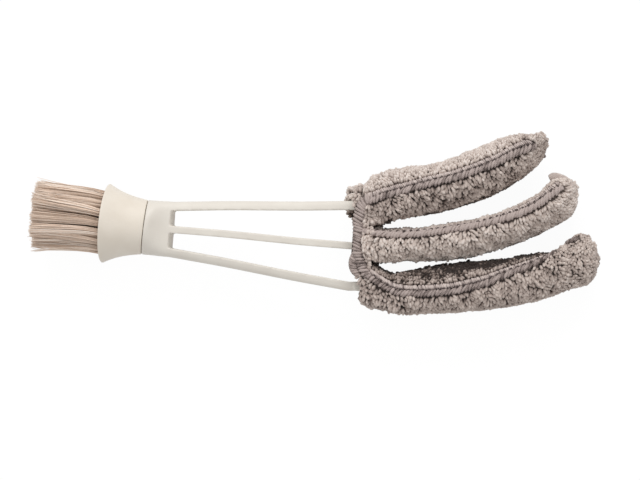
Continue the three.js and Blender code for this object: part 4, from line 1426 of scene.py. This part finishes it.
def make_cuff_pile(outer, outward):
    """Pile round the mouth: it curls back over the edge and stands out at the upper corner."""
    random = np.random.default_rng(31)
    row, root, normal, inside = cuff_roots(outer, outward, random)
    y, z = root[:, 1], root[:, 2]
    total = len(row)
    edge = (row < EDGE_ROWS) & ((np.abs(y) > 10) | inside)
    ahead = np.where(edge, -1.0, 0.3)[:, None] * [1, 0, 0]
    lean = ahead + np.cross(normal, [1, 0, 0]) * random.normal(0, 0.35, total)[:, None]
    lean = square_to(lean, normal)
    corner = smooth(y, 14, 24) * (z < 3)
    size = np.where(edge, blend_between(*EDGE_PILE_LENGTHS, corner), 3.0)
    length = size * clipped_normal(random, 1, 0.12, total, 0.7, 1.3)
    most = np.radians(clipped_normal(random, 92, BEND_SCATTER, total, 50, 130))
    radius = clipped_normal(random, 0.95, 0.1, total, 0.6, 1.2)
    paler = 0.3 * smooth(y, *UPPER_ROD) * (z < 3)
    tone = random.normal(0, TONE_SCATTER, total) + paler - 0.25 * (inside & (y < 21))
    paths = curl_paths(root, normal, lean, length, most)
    attach(pile_piece("cuff_pile", paths, radius, np.cross(normal, lean), tone), "handle")


def back_band_route():
    return [(mouth_edge(y, -14.0) + 3.1, y) for y in (28.0, 21.0, 14.0, 0.0, -14.0, -21.0, -28.0)]


def make_band(name, face, route, seed):
    """The binding across the mouth. In front it runs on into the upper and the lower tape."""
    flat = curve_through(route, BAND_POINTS)
    off_middle = np.abs(2 * np.linspace(0, 1, BAND_POINTS) - 1)
    deep = CUFF_HALF_DEPTH - BAND_INSET + 1.2 * off_middle ** 2
    base = line_base(np.column_stack([flat, face * deep]), np.array([BAND_TILT, 0, face]))
    half = BAND_HALF_WIDTH - 0.6 - 0.5 * off_middle ** 3
    y = flat[:, 1]
    half = half + 0.6 * smooth(y, *BAND_WIDE_START) * (1 - smooth(y, *BAND_WIDE_END))
    high = BAND_HEIGHT + 0.15 * np.sin(np.arange(BAND_POINTS) * 0.9)
    points, faces = strip(base, half, -0.4, high, BAND_CROWN)
    binding = mesh_piece(f"mouth_{name}_binding", points, faces, TAPE, -0.1)
    attach(binding, "handle", f"mouth_band_{name}")
    random = np.random.default_rng(seed)
    points, faces, tones = ribs(base, half, high, *BAND_FORM, random)
    paler = 0.35 * smooth(points[:, 1], *BAND_PALE_ZONE)
    attach(mesh_piece(f"mouth_{name}_ribs", points, faces, TAPE, tones + paler), "handle")


def make_bulge():
    """The fold of the band that bulges out of the mouth below the middle rod."""
    flat = curve_through(BULGE_ROUTE, BULGE_POINTS)
    level = np.full(BULGE_POINTS, CUFF_HALF_DEPTH - BULGE_INSET)
    base = line_base(np.column_stack([flat, level]), UP)
    run = np.arange(BULGE_POINTS)
    swell = np.sin(np.linspace(0.06, 0.97, BULGE_POINTS) * np.pi) ** 0.6
    half = 0.8 + 2.3 * swell + 0.08 * np.sin(run * 1.9)
    high = BULGE_HEIGHT + 0.12 * np.sin(run * 1.3)
    points, faces = strip(base, half, -1.2, high, BULGE_CROWN)
    attach(mesh_piece("mouth_front_bulge", points, faces, TAPE, 0.2), "handle")
    random = np.random.default_rng(43)
    points, faces, tones = ribs(base, 0.7 * half, high, *BULGE_FORM, random)
    attach(mesh_piece("mouth_bulge_ribs", points, faces, TAPE, tones + 0.3), "handle")


def make_elastic():
    """A ribbed loop of elastic between the cuff and the frame's crossbar."""
    low, high = node_box("mouth_elastic")
    half_y, half_z = high[1], high[2]
    angle = np.linspace(0, 2 * np.pi, ELASTIC_POINTS, endpoint=False)
    y, z = (half_y - 0.7) * bend(np.sin(angle), 12), (half_z - 0.7) * bend(np.cos(angle), 12)
    ripple = 0.12 * np.sin(np.arange(ELASTIC_POINTS) * np.pi / 2)
    section = -angles(ELASTIC_SIDES)
    wide = (high[0] - low[0]) / 2 * bend(np.cos(section), 4)
    outward = unit(np.column_stack([y / half_y, z / half_z]))
    rings = []
    for k in range(ELASTIC_POINTS):
        out = (0.5 + ripple[k]) * bend(np.sin(section), 3)
        flat = np.array([y[k], z[k]]) + out[:, None] * outward[k]
        rings.append(np.column_stack([(low[0] + high[0]) / 2 + mouth_shift(y[k]) + wide, flat]))
    faces = [ring_faces(ELASTIC_POINTS, ELASTIC_SIDES, closed_rows=True)]
    piece = mesh_piece("elastic_loop", np.concatenate(rings), faces, ELASTIC)
    attach(piece, "handle", "mouth_elastic")


# Stage

def make_stage():
    """A floor that shows as white paper, but lights the tool like grey paper."""
    size = FLOOR_HALF_WIDTH
    corners = np.array([[-size, -size, 0], [size, -size, 0], [size, size, 0], [-size, size, 0]])
    corners[:, 2] = -ORIGIN[2] / MM
    material = bpy.data.materials.new("floor")
    material.use_nodes = True
    tree = material.node_tree
    tree.nodes.clear()
    paper = add(tree, "ShaderNodeBsdfDiffuse", Color=(0.6, 0.6, 0.6, 1))
    white = add(tree, "ShaderNodeEmission", Color=(1, 1, 1, 1), Strength=FLOOR_GLOW)
    rays = add(tree, "ShaderNodeLightPath").outputs
    seen = maths(tree, "MAXIMUM", rays["Is Camera Ray"], rays["Is Glossy Ray"])
    shown = maths(tree, "MAXIMUM", seen, rays["Is Transmission Ray"])
    mixed = add(tree, "ShaderNodeMixShader", Fac=weigh(tree, shown, FLOOR_GLOW_SHARE, 0.0))
    tree.links.new(paper.outputs[0], mixed.inputs[1])
    tree.links.new(white.outputs[0], mixed.inputs[2])
    add(tree, "ShaderNodeOutputMaterial", Surface=mixed.outputs[0])
    mesh_piece("floor", corners, [np.array([[0, 1, 2, 3]])], material)


def make_world():
    world = bpy.data.worlds.new("studio")
    bpy.context.scene.world = world
    world.use_nodes = True
    background = world.node_tree.nodes["Background"]
    background.inputs["Color"].default_value = (1, 1, 1, 1)
    background.inputs["Strength"].default_value = WORLD_STRENGTH


def place_object(name, data, right, up, back, where=(0, 0, 0)):
    """Adds an object whose own axes point right, up and back."""
    made = bpy.data.objects.new(name, data)
    matrix = Matrix(np.column_stack([right, up, back]).tolist()).to_4x4()
    matrix.translation = where
    made.matrix_world = matrix
    bpy.context.scene.collection.objects.link(made)
    return made


def make_lamp(name, towards, strength, degrees):
    """A broad sun lamp that shines from a direction."""
    data = bpy.data.lights.new(name, "SUN")
    data.energy = strength
    data.angle = math.radians(degrees)
    back = unit(np.array(towards, float))
    side = unit(np.cross([0.0, 1.0, 0.1], back))
    place_object(name, data, side, np.cross(back, side), back)


def make_camera():
    back = np.array([math.sin(VIEW_TILT), 0, math.cos(VIEW_TILT)])
    level = np.array([math.cos(VIEW_TILT), 0, -math.sin(VIEW_TILT)])
    y = np.array([0, 1.0, 0])
    right = math.cos(VIEW_ROLL) * level + math.sin(VIEW_ROLL) * y
    up = -math.sin(VIEW_ROLL) * level + math.cos(VIEW_ROLL) * y
    distance = LENS / SENSOR * IMAGE_WIDTH * PIXEL
    data = bpy.data.cameras.new("camera")
    data.lens = LENS
    data.sensor_width = SENSOR
    where = ORIGIN + (VIEW_AIM + back * distance) * MM
    bpy.context.scene.camera = place_object("camera", data, right, up, back, where)


def dress_kept_nodes():
    """CAD nodes whose shape is right get their finished material."""
    kept = {"tuft_block": BLOCK_PLASTIC}
    kept.update({f"{name}_prong": PRONG_PLASTIC for name in FINGERS})
    for node, material in kept.items():
        slots = frame["nodes"][node].data.materials
        slots.clear()
        slots.append(material)


make_camera()
make_world()
make_lamp("key", (0.05, 1.0, 0.7), 1.3, 40)
make_stage()
dress_kept_nodes()
make_collar()
make_bristles("centre", (0, 1), 90, 21)
make_bristles("middle", (2,), 100, 22)
make_bristles("outer", (3,), 120, 23)
make_handle()
make_cuff()
make_band("front", 1, FRONT_BAND_ROUTE, 41)
make_band("back", -1, back_band_route(), 42)
make_bulge()
make_elastic()
for finger_name, finger_spec in FINGERS.items():
    finger = Sleeve(finger_name, finger_spec)
    settle(finger)
    finger.derive()
    make_backing(finger)
    make_pile(finger)
    make_tapes(finger)
make_tip_fold()

bpy.context.scene.view_settings.view_transform = "Standard"
